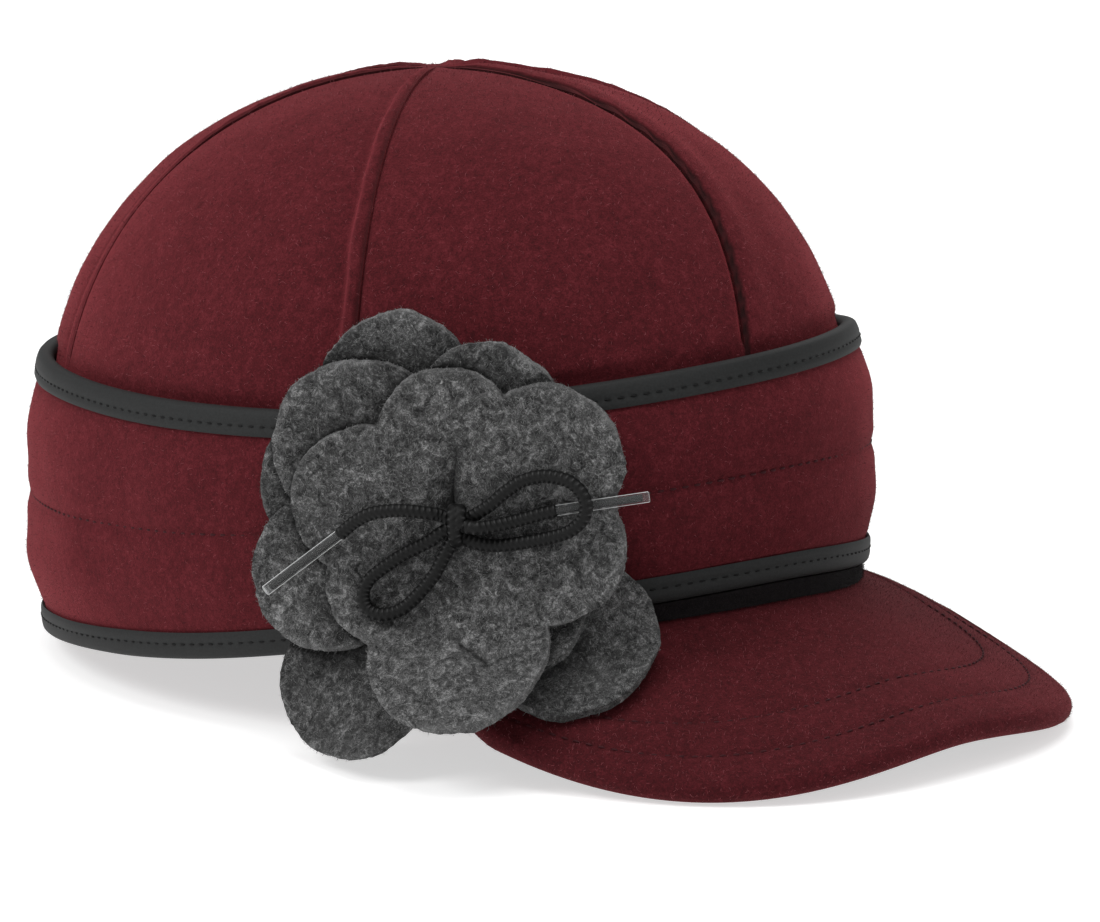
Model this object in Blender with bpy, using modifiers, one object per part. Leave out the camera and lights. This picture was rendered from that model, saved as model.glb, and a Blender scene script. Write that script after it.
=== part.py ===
"""A six-panel wool cap with a peak, a turned-up ear band and a felt flower tied on with a bow.

The wearer faces -Y and +X is the wearer's left. The cap stands on z = 0, on the back of its
lower binding and on the two low corners of its peak. A turn is an angle round the cap in
degrees, from the front, positive towards +X.
"""
import math

import bmesh
import bpy
from mathutils import Vector

# Driving dimensions, in metres
HEAD_LENGTH = 0.200         # inside of the crown, front to back
HEAD_WIDTH = 0.161          # inside of the crown, side to side
CLOTH = 0.0025              # milled wool of the crown, band and peak
TAPE = 0.0006               # folded tape of the bindings
BAND_CLOTH = 0.0022         # the band's cloth, pressed thinner than the crown's
GAP = 0.0003                # clearance between pieces that touch
CROWN_SPRING = 0.054        # height where the crown starts to curve in
CROWN_TOP = 0.1398          # height of the crown's outside where the seams meet
CROWN_FULLNESS = 2.15       # power of the crown's side curve, 2 is a plain ellipse
CROWN_LEAN = 0.0025         # how far the top lies behind the middle of the head
CROWN_TILT = 0.070          # rise of the crown towards the front, per length
FOOT_TUCK = 0.034           # how much narrower the foot is at the back
FOOT_TUCK_HEIGHT = 0.017    # over this height above the band's lower edge
PANEL_COUNT = 6
SEAM_TURN = -4.0            # the front seam's foot lies a little to the wearer's right
SEAM_GAP = 0.0006           # opening between two panels, at their outside
WELT_WIDTH = 0.0040         # lapped seam at the foot of the crown
WELT_TOP_WIDTH = 0.0026     # and near the top
WELT_RAISE = 0.0009         # how proud the lapped edge stands
PANEL_PUFF = 0.0010         # how far a panel swells between its seams
WELT_END = 0.12             # share of the radius where the welts run out at the top
BAND_HEIGHT = 0.062         # between the two bindings' middle lines, at the back
BAND_CLEARANCE = 0.0007     # between the crown and the bindings' inner legs
BINDING_HEIGHT = 0.0063     # face of the binding
REST_TURN = 15.0            # the lower binding lies flat this far each way from the back
FOLD_DEPTH = 0.0007         # soft upright folds of the band
BASE_TAPE_HEIGHT = 0.0040   # dark strip under the lower binding, at the front
BASE_TAPE_THICKNESS = 0.0024
BASE_TAPE_TURN = 52.0       # how far round the strip and the peak's seam reach
PEAK_TURN = 60.0
PEAK_HALF_WIDTH = 0.0803
PEAK_REACH = 0.1032         # from the peak's widest line to its front edge
PEAK_WIDEST = 0.0593        # the widest line lies this far in front of the crown's middle
PEAK_SQUARENESS = 2.7       # power of the peak's outline, 2 is a plain ellipse
PEAK_SEAM_HEIGHT = 0.0262   # middle of the peak where it leaves the band, at the front
PEAK_SLOPE = 0.31           # fall of the peak along its middle
PEAK_ARCH = 0.0222          # how much lower the peak lies at its half width
PEAK_ARCH_POWER = 1.85      # 2 is a round arch
PEAK_TOP_THICKNESS = 0.0027
PEAK_UNDER_THICKNESS = 0.0015
PEAK_ROLL = 0.0030          # how far the cloth rolls down at the edge
PEAK_EDGE_ROW = 0.94        # share of the reach where it starts to roll
PEAK_UNDER_INSET = 0.018    # the under side ends short of the top's two corners
PEAK_UNDER_SHARE = 0.865    # reach of the under side, inside the top's rolled edge
FELT = 0.0020
FLOWER_TURN = -47.8
FLOWER_HEIGHT = 0.0525
FLOWER_RADIUS = 0.050       # usual reach of a petal
FLOWER_HOLE = 0.0022        # the cord passes the layers here
FLOWER_SEAT = 0.0005        # from the band to the back layer
LAYER_STEP = 0.0034         # from one layer's back to the next one's
HANG_EASE = 0.0080          # how gently the petals bend out over the peak
VIEW_LIFT = 0.24            # an outward step looks lower by this share, seen from the front
CORD_DIAMETER = 0.0033
AGLET_DIAMETER = 0.0024
AGLET_LEFT_LENGTH = 0.0210
AGLET_RIGHT_LENGTH = 0.0205
KNOT_WIDTH = 0.0056
KNOT_HEIGHT = 0.0096
KNOT_THICKNESS = 0.0066

# How far each seam's upper end turns away from its foot, in degrees, from the front seam on
SEAM_SWINGS = (16.0, 0.0, -10.0, 0.0, 0.0, 0.0)
# Edges of the ear band: turn, then the height of the lower and of the upper binding's middle
# line, as shares of the band height
BAND_EDGES = (
    (-150, 0.085, 1.085),
    (-120, 0.166, 1.113),
    (-90, 0.274, 1.137),
    (-60, 0.431, 1.194),
    (-30, 0.574, 1.303),
    (0, 0.615, 1.355),
    (30, 0.526, 1.338),
    (60, 0.395, 1.235),
    (90, 0.258, 1.169),
    (120, 0.155, 1.113),
    (150, 0.085, 1.081),
    (180, 0.045, 1.065),
)
# How far the band's cloth swells outward: share of the band's height, then share of its cloth
BAND_SWELL = (
    (0.00, 0.30),
    (0.28, 1.15),
    (0.50, 0.80),
    (0.72, 1.00),
    (1.00, 0.00),
)
# Upright folds of the band: turn, half width in degrees, share of the fold depth
BAND_FOLDS = (
    (-112, 7, 1.0),
    (-99, 5, -0.7),
    (-135, 9, -0.8),
    (118, 8, 0.9),
    (160, 10, -0.6),
)
# Petals of the flower's three layers: direction in degrees from the right, then how far out the
# petal's round end has its centre and its radius, as shares of the flower radius
BACK_PETALS = (
    (115, 0.686, 0.340),
    (160, 0.590, 0.360),
    (237, 0.840, 0.360),
    (315, 0.680, 0.380),
    (38, 0.400, 0.340),
)
MIDDLE_PETALS = (
    (142, 0.556, 0.400),
    (77, 0.524, 0.320),
    (201, 0.620, 0.360),
    (18, 0.360, 0.340),
    (300, 0.400, 0.360),
)
TOP_PETALS = (
    (166, 0.412, 0.340),
    (96, 0.402, 0.310),
    (38, 0.484, 0.350),
    (350, 0.364, 0.380),
    (272, 0.540, 0.400),
    (225, 0.368, 0.320),
)
# Layers from the back: name, petals, swell of the rim as a share of the felt, pull to the cap
# in the middle as a share of the felt
LAYERS = (
    ("flower_back", BACK_PETALS, 0.3, 0.0),
    ("flower_middle", MIDDLE_PETALS, 0.8, 0.25),
    ("flower_top", TOP_PETALS, 1.5, 0.5),
)
# The bow's routes across the flower, in metres right of and above the knot, and how far the
# cord stands off the felt
LEFT_LOOP_ROUTE = (
    (-0.0033, -0.0016, 0.0012),
    (-0.0066, -0.0040, 0.0008),
    (-0.0111, -0.0064, 0.0006),
    (-0.0158, -0.0096, 0.0006),
    (-0.0193, -0.0126, 0.0006),
    (-0.0207, -0.0160, 0.0006),
    (-0.0196, -0.0192, 0.0006),
    (-0.0162, -0.0204, 0.0006),
    (-0.0122, -0.0192, 0.0006),
    (-0.0087, -0.0160, 0.0006),
    (-0.0052, -0.0116, 0.0006),
    (-0.0028, -0.0070, 0.0008),
)
RIGHT_LOOP_ROUTE = (
    (0.0034, 0.0022, 0.0010),
    (0.0073, 0.0048, 0.0008),
    (0.0109, 0.0080, 0.0006),
    (0.0149, 0.0106, 0.0006),
    (0.0200, 0.0116, 0.0010),
    (0.0251, 0.0104, 0.0024),
    (0.0283, 0.0070, 0.0034),
    (0.0284, 0.0030, 0.0034),
    (0.0252, -0.0004, 0.0022),
    (0.0200, -0.0022, 0.0008),
    (0.0133, -0.0036, 0.0006),
    (0.0082, -0.0042, 0.0006),
    (0.0036, -0.0036, 0.0008),
)
LEFT_TAIL_ROUTE = (
    (-0.0036, 0.0022, 0.0014),
    (-0.0064, 0.0026, 0.0026),
    (-0.0122, 0.0030, 0.0034),
    (-0.0182, 0.0022, 0.0030),
    (-0.0224, 0.0002, 0.0018),
    (-0.0258, -0.0026, 0.0010),
)
RIGHT_TAIL_ROUTE = (
    (0.0038, -0.0004, 0.0042),
    (0.0076, 0.0000, 0.0030),
    (0.0130, 0.0014, 0.0010),
    (0.0180, 0.0030, 0.0006),
    (0.0216, 0.0040, 0.0006),
)
# Where each aglet's far tip lies: right of and above the knot, and off the felt
LEFT_AGLET_TIP = (-0.0424, -0.0158, 0.0022)
RIGHT_AGLET_TIP = (0.0424, 0.0078, 0.0004)

# Faceting
RING_CELLS = 36
PANEL_CELLS = 8
PANEL_ROWS = 11
PEAK_CELLS = 26
PEAK_ROWS = 7
PETAL_CELLS = 48
PETAL_ROWS = 6
CORD_STEP = 0.0040
CORD_BEVEL = 2

# Derived sizes
CROWN_HALF_LENGTH = HEAD_LENGTH / 2 + CLOTH
CROWN_HALF_WIDTH = HEAD_WIDTH / 2 + CLOTH
BAND_STEP = BAND_CLEARANCE + TAPE + GAP + BAND_CLOTH
HALF_PANEL = 180.0 / PANEL_COUNT
PEAK_THICKNESS = PEAK_TOP_THICKNESS + GAP + PEAK_UNDER_THICKNESS

COLLECTION = bpy.data.collections.new("wool_cap")
UP = Vector((0.0, 0.0, 1.0))


def ease(share):
    """Smooth step from 0 to 1."""
    share = min(1.0, max(0.0, share))
    return share * share * (3.0 - 2.0 * share)


def mix(start, end, share):
    return start + (end - start) * share


def signed_power(value, power):
    return math.copysign(abs(value) ** power, value)


def smooth_value(before, start, end, after, share):
    """Smooth curve through four values in a row, between the middle two."""
    bend = (end - before) / 2
    exit_bend = (after - start) / 2
    drop = start - end
    return (start + bend * share
            + (-3 * drop - 2 * bend - exit_bend) * share ** 2
            + (2 * drop + bend + exit_bend) * share ** 3)


def band_edge(turn, column):
    """Height of the lower (1) or upper (2) binding's middle line at a turn."""
    step = 360.0 / len(BAND_EDGES)
    place = ((turn - BAND_EDGES[0][0]) % 360.0) / step
    row = int(place)
    values = [BAND_EDGES[(row + k) % len(BAND_EDGES)][column] for k in (-1, 0, 1, 2)]
    return BAND_HEIGHT * smooth_value(*values, place - row)


def from_table(rows, share):
    """Read a table of (place, value) rows between its rows, smoothly."""
    for (place, value), (next_place, next_value) in zip(rows, rows[1:]):
        if share <= next_place:
            return mix(value, next_value, ease((share - place) / (next_place - place)))
    return rows[-1][1]


def plan_normal(turn):
    angle = math.radians(turn)
    return Vector((math.sin(angle) / CROWN_HALF_WIDTH,
                   -math.cos(angle) / CROWN_HALF_LENGTH, 0.0)).normalized()


def plan_tangent(turn):
    return UP.cross(plan_normal(turn))


def crown_share(turn, height):
    """Radius of the cap's wall at a height, as a share of the crown's widest radius."""
    angle = math.radians(turn)
    level = height - CROWN_TILT * CROWN_HALF_LENGTH * math.cos(angle)
    rise = max(0.0, (level - CROWN_SPRING) / (CROWN_TOP - CROWN_SPRING))
    backness = (1.0 - math.cos(angle)) / 2
    tuck = ease(1.0 - (height - band_edge(turn, 1)) / FOOT_TUCK_HEIGHT)
    return ((1.0 - min(1.0, rise) ** CROWN_FULLNESS) ** (1.0 / CROWN_FULLNESS)
            - FOOT_TUCK * backness * tuck)


def crown_point(turn, share, height):
    """Point of the cap's wall at a share of the crown's widest radius."""
    angle = math.radians(turn)
    rise = max(0.0, (height - CROWN_SPRING) / (CROWN_TOP - CROWN_SPRING))
    return Vector((CROWN_HALF_WIDTH * share * math.sin(angle),
                   -CROWN_HALF_LENGTH * share * math.cos(angle) + CROWN_LEAN * rise ** 2,
                   height))


def crown_normal(turn, share, height):
    """Outward direction of the crown's outer side."""
    rise = max(0.0, (height - CROWN_SPRING) / (CROWN_TOP - CROWN_SPRING))
    flat = plan_normal(turn) * share ** (CROWN_FULLNESS - 1)
    spread = (CROWN_HALF_LENGTH + CROWN_HALF_WIDTH) / 2 / (CROWN_TOP - CROWN_SPRING)
    return (flat + UP * spread * rise ** (CROWN_FULLNESS - 1)).normalized()


def band_fold(turn):
    """Outward move of the band where it folds softly."""
    move = 0.0
    for place, half_width, depth in BAND_FOLDS:
        away = abs((turn - place + 180.0) % 360.0 - 180.0) / half_width
        move += FOLD_DEPTH * depth * (1.0 - ease(away / 2))
    return move


def band_point(turn, share):
    """Point of the ear band's outer side: share 0 on the lower middle line, 1 on the upper."""
    height = mix(band_edge(turn, 1), band_edge(turn, 2), share)
    fold = band_fold(turn) * 4 * share * (1 - share)
    out = BAND_STEP + BAND_CLOTH * from_table(BAND_SWELL, share) + fold
    return crown_point(turn, crown_share(turn, height), height) + plan_normal(turn) * out


def band_frame(turn, share):
    """Outer point, outward direction and upward direction of the band on a middle line."""
    place = band_point(turn, share)
    inward = 0.04 if share < 0.5 else -0.04
    along = (band_point(turn, share + inward) - place) * math.copysign(1.0, inward)
    along.normalize()
    return place, plan_tangent(turn).cross(along).normalized(), along


def add_object(name, data, color, roughness, metallic=0.0):
    """One named object with its own material, in the cap's collection."""
    obj = bpy.data.objects.new(name, data)
    COLLECTION.objects.link(obj)
    paint_object(obj, color, roughness, metallic)
    return obj


def paint_object(obj, color, roughness, metallic=0.0):
    material = bpy.data.materials.new(obj.name + "_finish")
    material.use_nodes = True
    shader = material.node_tree.nodes["Principled BSDF"]
    shader.inputs["Base Color"].default_value = (*color, 1.0)
    shader.inputs["Roughness"].default_value = roughness
    shader.inputs["Metallic"].default_value = metallic
    obj.data.materials.clear()
    obj.data.materials.append(material)


def add_sheet(name, place, across, along, thickness, side, color, closed=False, merge=False,
              even=True):
    """A grid shaped by place(u, v) with u and v from 0 to 1, given a thickness by Solidify.

    side is -1 where the thickness lies behind the sheet's face and 0 where it is shared. With
    even False each corner moves by the plain thickness.
    """
    mesh = bpy.data.meshes.new(name)
    shape = bmesh.new()
    bmesh.ops.create_grid(shape, x_segments=across, y_segments=along, size=0.5)
    for vertex in shape.verts:
        u = min(1.0, max(0.0, vertex.co.x + 0.5))
        v = min(1.0, max(0.0, vertex.co.y + 0.5))
        vertex.co = place(u, v)
    if closed or merge:
        bmesh.ops.remove_doubles(shape, verts=shape.verts, dist=0.00002)
    shape.to_mesh(mesh)
    shape.free()
    mesh.shade_smooth()
    obj = add_object(name, mesh, color, 0.9)
    solid = obj.modifiers.new("thickness", "SOLIDIFY")
    solid.thickness = thickness
    solid.offset = side
    solid.use_even_offset = even
    return obj


BURGUNDY = (0.102, 0.013, 0.019)
CHARCOAL = (0.028, 0.030, 0.029)
GREY_FELT = (0.075, 0.078, 0.082)
BLACK_CORD = (0.012, 0.012, 0.012)
DARK_CLOTH = (0.016, 0.013, 0.014)
CLEAR_TIP = (0.25, 0.25, 0.25)


def seam_turn(number, share):
    """Turn of a panel's front-side seam at a share of the crown's radius; 0 is the front seam."""
    swing = SEAM_SWINGS[int(number) % len(SEAM_SWINGS)] * (1.0 - share)
    return SEAM_TURN - 2 * HALF_PANEL * number + swing


def panel_row(row, turn):
    """Share of the widest radius and level of a panel's row, and how far its welt stands out."""
    edge = band_edge(turn, 2) + BINDING_HEIGHT / 2
    tilt = CROWN_TILT * CROWN_HALF_LENGTH * math.cos(math.radians(turn))
    foot = band_edge(turn, 1) - CLOTH * 0.5
    hidden = (foot, mix(foot, edge, 0.5), edge, edge + CLOTH)
    if row < len(hidden):
        height = hidden[row]
        return crown_share(turn, height), height, float(row == len(hidden) - 1)
    start = (hidden[-1] - tilt - CROWN_SPRING) / (CROWN_TOP - CROWN_SPRING)
    first = math.asin(start ** (CROWN_FULLNESS / 2))
    climb = mix(first, math.pi / 2, (row + 1 - len(hidden)) / (PANEL_ROWS + 1 - len(hidden)))
    share = max(0.0, math.cos(climb)) ** (2 / CROWN_FULLNESS)
    level = mix(CROWN_SPRING, CROWN_TOP, math.sin(climb) ** (2 / CROWN_FULLNESS))
    return share, level + tilt * share, ease(share / WELT_END)


def make_crown_panel(number):
    """One gore, from under the ear band to the top, its seam edge lapped over a welt."""
    mean_radius = (CROWN_HALF_LENGTH + CROWN_HALF_WIDTH) / 2

    def place(u, v):
        row = round(v * PANEL_ROWS)
        share = panel_row(row, SEAM_TURN - 2 * HALF_PANEL * (number - 0.5))[0]
        share = max(SEAM_GAP / mean_radius, share)
        near = seam_turn(number - 1, panel_row(row, seam_turn(number - 1, 1.0))[0])
        far = seam_turn(number, panel_row(row, seam_turn(number, 1.0))[0])
        radius = share * mean_radius
        inset = math.degrees(math.asin(min(0.5, SEAM_GAP / 2 / radius)))
        half_turn = max(0.0, (near - far) / 2 - inset) if row < PANEL_ROWS else 0.0
        half_width = max(1e-5, math.radians(half_turn) * radius)
        welt = min(0.5, mix(WELT_TOP_WIDTH, WELT_WIDTH, share) / half_width)
        column = round(u * PANEL_CELLS)
        foot = PANEL_CELLS - 2
        if column <= foot:
            across = mix(-1.0, 1.0 - welt, column / foot)
        else:
            across = 1.0 - welt * (0.35 if column == foot + 1 else 0.0)
        turn = (near + far) / 2 + across * half_turn
        share, height, stand = panel_row(row, turn)
        share = max(SEAM_GAP / mean_radius, share)
        raise_by = (0.0, WELT_RAISE, WELT_RAISE * 0.7)[max(0, column - foot)]
        puff = PANEL_PUFF * (1.0 - across ** 2) * share
        level = height - CROWN_TILT * CROWN_HALF_LENGTH * math.cos(math.radians(turn)) * share
        lean = crown_point(turn, share, level)
        lean.z = height
        return lean + crown_normal(turn, share, level) * (raise_by + puff) * stand

    return add_sheet(f"crown_panel_{number}", place, PANEL_CELLS, PANEL_ROWS, CLOTH, -1,
                     BURGUNDY, merge=True)


def make_ear_band():
    """The band's cloth, straight inside the two bindings and swelling between them."""
    tuck = BINDING_HEIGHT / 2 - TAPE - GAP
    clear = BINDING_HEIGHT / 2 + GAP
    rows = ((0, -tuck), (0, clear), (0.28, None), (0.50, None), (0.72, None), (1, -clear), (1, tuck))

    def place(u, v):
        turn = 180.0 - 360.0 * (1.0 - u)
        share, offset = rows[round(v * (len(rows) - 1))]
        if offset is None:
            return band_point(turn, share)
        point, _, along = band_frame(turn, share)
        point = point + along * offset
        point.z = max(point.z, TAPE + 2 * GAP)
        return point

    return add_sheet("ear_band", place, RING_CELLS, len(rows) - 1, BAND_CLOTH, -1, BURGUNDY,
                     closed=True)


def binding_section(fold):
    """The tape's middle line round an edge, as steps outward and along; fold is -1 at the foot."""
    leg = GAP + TAPE / 2
    edge = BINDING_HEIGHT / 2 - TAPE / 2
    corner = 0.5 * TAPE
    return (
        (leg, -fold * BINDING_HEIGHT / 2),
        (leg, fold * (edge - corner)),
        (leg - corner, fold * edge),
        (corner - leg - BAND_CLOTH, fold * edge),
        (-leg - BAND_CLOTH, fold * (edge - corner)),
        (-leg - BAND_CLOTH, -fold * (BINDING_HEIGHT / 2 - GAP)),
    )


def make_binding(name, share, fold):
    """Tape folded over one edge of the band, flat where the cap rests on it."""
    section = binding_section(fold)

    def place(u, v):
        turn = 180.0 - 360.0 * (1.0 - u)
        row = round(v * (len(section) - 1))
        out, up = section[row if fold > 0 else len(section) - 1 - row]
        point, normal, along = band_frame(turn, share)
        point = point + normal * out + along * up
        if fold < 0 and abs(up + BINDING_HEIGHT / 2 - TAPE / 2) < TAPE * 0.1:
            at_rest = abs(abs(turn) - 180.0) < REST_TURN
            point.z = TAPE / 2 if at_rest else max(point.z, TAPE / 2)
        return point

    return add_sheet(name, place, RING_CELLS, len(section) - 1, TAPE, 0, CHARCOAL, closed=True)


def base_tape_height(turn):
    """Height of the dark strip, narrower towards its ends."""
    return BASE_TAPE_HEIGHT * mix(1.0, 0.35, (abs(turn) / BASE_TAPE_TURN) ** 2)


def make_base_tape():
    """The dark strip that closes the foot of the cap above the peak."""
    def place(u, v):
        turn = mix(-BASE_TAPE_TURN, BASE_TAPE_TURN, u)
        point, normal, along = band_frame(turn, 0)
        drop = BINDING_HEIGHT / 2 + GAP + base_tape_height(turn) * (1.0 - v)
        return point - normal * 0.2 * CLOTH - along * drop

    return add_sheet("base_tape", place, 20, 1, BASE_TAPE_THICKNESS, -1, DARK_CLOTH)


def peak_fall(x, y):
    """Height of the peak's middle surface, an arched and sloping sheet."""
    return (PEAK_SEAM_HEIGHT + PEAK_SLOPE * (y + CROWN_HALF_LENGTH + BAND_STEP)
            - PEAK_ARCH * abs(x / PEAK_HALF_WIDTH) ** PEAK_ARCH_POWER)


def peak_point(u, v, rolled=True):
    """Point of the peak's upper side, u across and v outward from 0 to 1."""
    side = 2.0 * u - 1.0
    turn = PEAK_TURN * side
    seam, normal, along = band_frame(turn, 0)
    seat = seam - normal * CLOTH - along * (BINDING_HEIGHT / 2 + 2 * GAP + base_tape_height(
        min(abs(turn), BASE_TAPE_TURN)))
    angle = math.pi / 2 * side
    edge_x = PEAK_HALF_WIDTH * signed_power(math.sin(angle), 2 / PEAK_SQUARENESS)
    edge_y = -PEAK_WIDEST - PEAK_REACH * abs(math.cos(angle)) ** (2 / PEAK_SQUARENESS)
    tuck = ease((abs(side) - 0.86) / 0.14) * 0.75
    edge_x = mix(edge_x, seat.x, tuck)
    edge_y = mix(edge_y, seat.y, tuck)
    x = mix(seat.x, edge_x, v)
    y = mix(seat.y, edge_y, v)
    lift = PEAK_THICKNESS / 2
    seat_lift = seat.z - peak_fall(seat.x, seat.y) - lift
    corner = ease((abs(side) - 0.86) / 0.14)
    height = peak_fall(x, y) + lift + seat_lift * mix((1.0 - v) ** 2, 1.0, corner)
    roll = PEAK_ROLL * ease((v - PEAK_EDGE_ROW) / (1.0 - PEAK_EDGE_ROW)) * ease((1.0 - abs(side)) / 0.4)
    return Vector((x, y, height - (roll if rolled else 0.0)))


def make_peak():
    """The peak's burgundy top and its dark under side."""
    def top_place(u, v):
        row = round(v * PEAK_ROWS)
        return peak_point(u, PEAK_EDGE_ROW * (PEAK_ROWS - row) / (PEAK_ROWS - 1) if row else 1.0)

    def under_place(u, v):
        u = min(1.0 - PEAK_UNDER_INSET, max(PEAK_UNDER_INSET, u))
        share = PEAK_UNDER_SHARE * (1.0 - v)
        point = peak_point(u, share, False)
        across = peak_point(min(1.0, u + 0.01), share, False) - peak_point(max(0.0, u - 0.01), share, False)
        outward = peak_point(u, share + 0.02, False) - peak_point(u, share, False)
        level = abs(across.cross(outward).normalized().z)
        slack = CLOTH * 0.5 * ease((abs(2.0 * u - 1.0) - 0.70) / 0.20)
        point.z -= (PEAK_TOP_THICKNESS + 1.5 * GAP) / max(0.35, level) + slack
        return point

    top = add_sheet("visor_top", top_place, PEAK_CELLS, PEAK_ROWS, PEAK_TOP_THICKNESS, -1, BURGUNDY,
                    even=False)
    under = add_sheet("visor_under", under_place, PEAK_CELLS, PEAK_ROWS - 1, PEAK_UNDER_THICKNESS,
                      -1, DARK_CLOTH)
    return top, under


def petal_reach(petals, direction):
    """How far the layer's outline lies from the middle in a direction."""
    reach = 0.32 * FLOWER_RADIUS
    for heading, centre, radius in petals:
        away = math.radians(direction - heading)
        across = centre * math.sin(away)
        if math.cos(away) > 0 and abs(across) < radius:
            out = centre * math.cos(away) + math.sqrt(radius ** 2 - across ** 2)
            reach = max(reach, FLOWER_RADIUS * out)
    return reach


def flower_frame():
    """Point on the band behind the flower, and its right, up and outward directions."""
    share = (FLOWER_HEIGHT - band_edge(FLOWER_TURN, 1)) / (
        band_edge(FLOWER_TURN, 2) - band_edge(FLOWER_TURN, 1))
    return band_point(FLOWER_TURN, share), plan_tangent(FLOWER_TURN), UP, plan_normal(FLOWER_TURN)


def layer_depth(level, x, rise):
    """How far a layer's back lies in front of the band's middle, at a place of the flower."""
    _, _, swell, pull = LAYERS[level]
    radius = math.hypot(x, rise)
    below = -rise - 0.57 * FLOWER_RADIUS
    hang = (below + math.hypot(below, HANG_EASE)) / 2
    over_peak = ease((x + 0.9 * FLOWER_RADIUS) / (0.9 * FLOWER_RADIUS))
    wrap = -x * x / (4.4 * CROWN_HALF_LENGTH) * (1.0 - over_peak * ease(hang / HANG_EASE))
    flare = mix(0.25, 1.25, over_peak) * hang
    rim = swell * FELT * (radius / FLOWER_RADIUS) ** 2
    middle = pull * FELT * math.exp(-(radius / (0.15 * FLOWER_RADIUS)) ** 2)
    step = LAYER_STEP * (1.0 + 0.6 * ease(hang / HANG_EASE))
    return FLOWER_SEAT + level * step + wrap + flare + rim - middle


def flower_point(x, rise, depth):
    """Place of the flower: right of and above its middle as seen, and out from the band."""
    base, right, up, out = flower_frame()
    return base + right * x + up * (rise + VIEW_LIFT * depth) + out * depth


def petal_outline(petals, count):
    """Directions, spread evenly along the layer's outline so that its notches are followed."""
    fine = [(k / 2, petal_reach(petals, k / 2)) for k in range(721)]
    lengths = [0.0]
    for (start, reach), (end, next_reach) in zip(fine, fine[1:]):
        around = math.radians(end - start) * (reach + next_reach) / 2
        lengths.append(lengths[-1] + math.hypot(around, next_reach - reach))
    outline = []
    index = 0
    for k in range(count + 1):
        wanted = lengths[-1] * k / count
        while index < len(fine) - 2 and lengths[index + 1] < wanted:
            index += 1
        share = (wanted - lengths[index]) / (lengths[index + 1] - lengths[index])
        outline.append([mix(a, b, share) for a, b in zip(fine[index], fine[index + 1])])
    return outline


def make_flower_layer(level):
    name, petals, _, _ = LAYERS[level]
    outline = petal_outline(petals, PETAL_CELLS)

    def place(u, v):
        direction, reach = outline[round(u * PETAL_CELLS)]
        radius = mix(FLOWER_HOLE, reach, v)
        x = radius * math.cos(math.radians(direction))
        rise = radius * math.sin(math.radians(direction))
        return flower_point(x, rise, layer_depth(level, x, rise))

    return add_sheet(name, place, PETAL_CELLS, PETAL_ROWS, FELT, -1, GREY_FELT, closed=True,
                     even=False)


def bow_point(x, rise, stand):
    """Middle of a cord that lies on the flower's top layer, stand above the felt."""
    depth = layer_depth(len(LAYERS) - 1, x, rise) + FELT + stand + CORD_DIAMETER / 2
    return flower_point(x, rise, depth)


def smooth_route(points, step):
    """Points every step along a smooth curve through the given points."""
    fine = []
    count = 12
    for index in range(len(points) - 1):
        before = points[max(0, index - 1)]
        after = points[min(len(points) - 1, index + 2)]
        for k in range(count):
            fine.append(Vector([smooth_value(before[axis], points[index][axis],
                                             points[index + 1][axis], after[axis], k / count)
                                for axis in range(3)]))
    fine.append(points[-1])
    lengths = [0.0]
    for start, end in zip(fine, fine[1:]):
        lengths.append(lengths[-1] + (end - start).length)
    total = max(2, round(lengths[-1] / step))
    route = []
    index = 0
    for k in range(total + 1):
        wanted = lengths[-1] * k / total
        while index < len(fine) - 2 and lengths[index + 1] < wanted:
            index += 1
        span = max(1e-9, lengths[index + 1] - lengths[index])
        route.append(fine[index].lerp(fine[index + 1], (wanted - lengths[index]) / span))
    return route


def add_cord(name, route):
    """A tube of the cord's diameter along a route, with closed ends."""
    curve = bpy.data.curves.new(name, "CURVE")
    curve.dimensions = "3D"
    curve.bevel_depth = CORD_DIAMETER / 2
    curve.bevel_resolution = CORD_BEVEL
    curve.use_fill_caps = True
    spline = curve.splines.new("POLY")
    points = smooth_route([bow_point(*row) for row in route], CORD_STEP)
    spline.points.add(len(points) - 1)
    for target, point in zip(spline.points, points):
        target.co = (*point, 1.0)
    return add_object(name, curve, BLACK_CORD, 0.8)


def add_aglet(name, tail, tip, length):
    """The stiff tip on a cord's end, in line from the cord towards its far tip."""
    start = bow_point(*tail[-1])
    end = bow_point(*tip)
    heading = (end - start).normalized()
    mesh = bpy.data.meshes.new(name)
    shape = bmesh.new()
    bmesh.ops.create_cone(shape, cap_ends=True, segments=10, radius1=AGLET_DIAMETER / 2,
                          radius2=AGLET_DIAMETER / 2, depth=length)
    shape.to_mesh(mesh)
    shape.free()
    mesh.shade_smooth()
    obj = add_object(name, mesh, CLEAR_TIP, 0.15)
    obj.location = start + heading * (GAP + length / 2)
    obj.rotation_mode = "QUATERNION"
    obj.rotation_quaternion = heading.to_track_quat("Z", "Y")
    return obj


def add_knot():
    """The bow's knot, an upright oval that sits on the top layer."""
    mesh = bpy.data.meshes.new("bow_knot")
    shape = bmesh.new()
    bmesh.ops.create_uvsphere(shape, u_segments=12, v_segments=8, radius=0.5)
    _, right, up, out = flower_frame()
    depth = layer_depth(len(LAYERS) - 1, 0.0, 0.0) + FELT + GAP + KNOT_THICKNESS * 0.5
    centre = flower_point(0.0, 0.0, depth)
    for vertex in shape.verts:
        x, y, z = vertex.co
        vertex.co = centre + right * x * KNOT_WIDTH + out * y * KNOT_THICKNESS + up * z * KNOT_HEIGHT
    bmesh.ops.recalc_face_normals(shape, faces=shape.faces)
    shape.to_mesh(mesh)
    shape.free()
    mesh.shade_smooth()
    return add_object("bow_knot", mesh, BLACK_CORD, 0.8)


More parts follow.
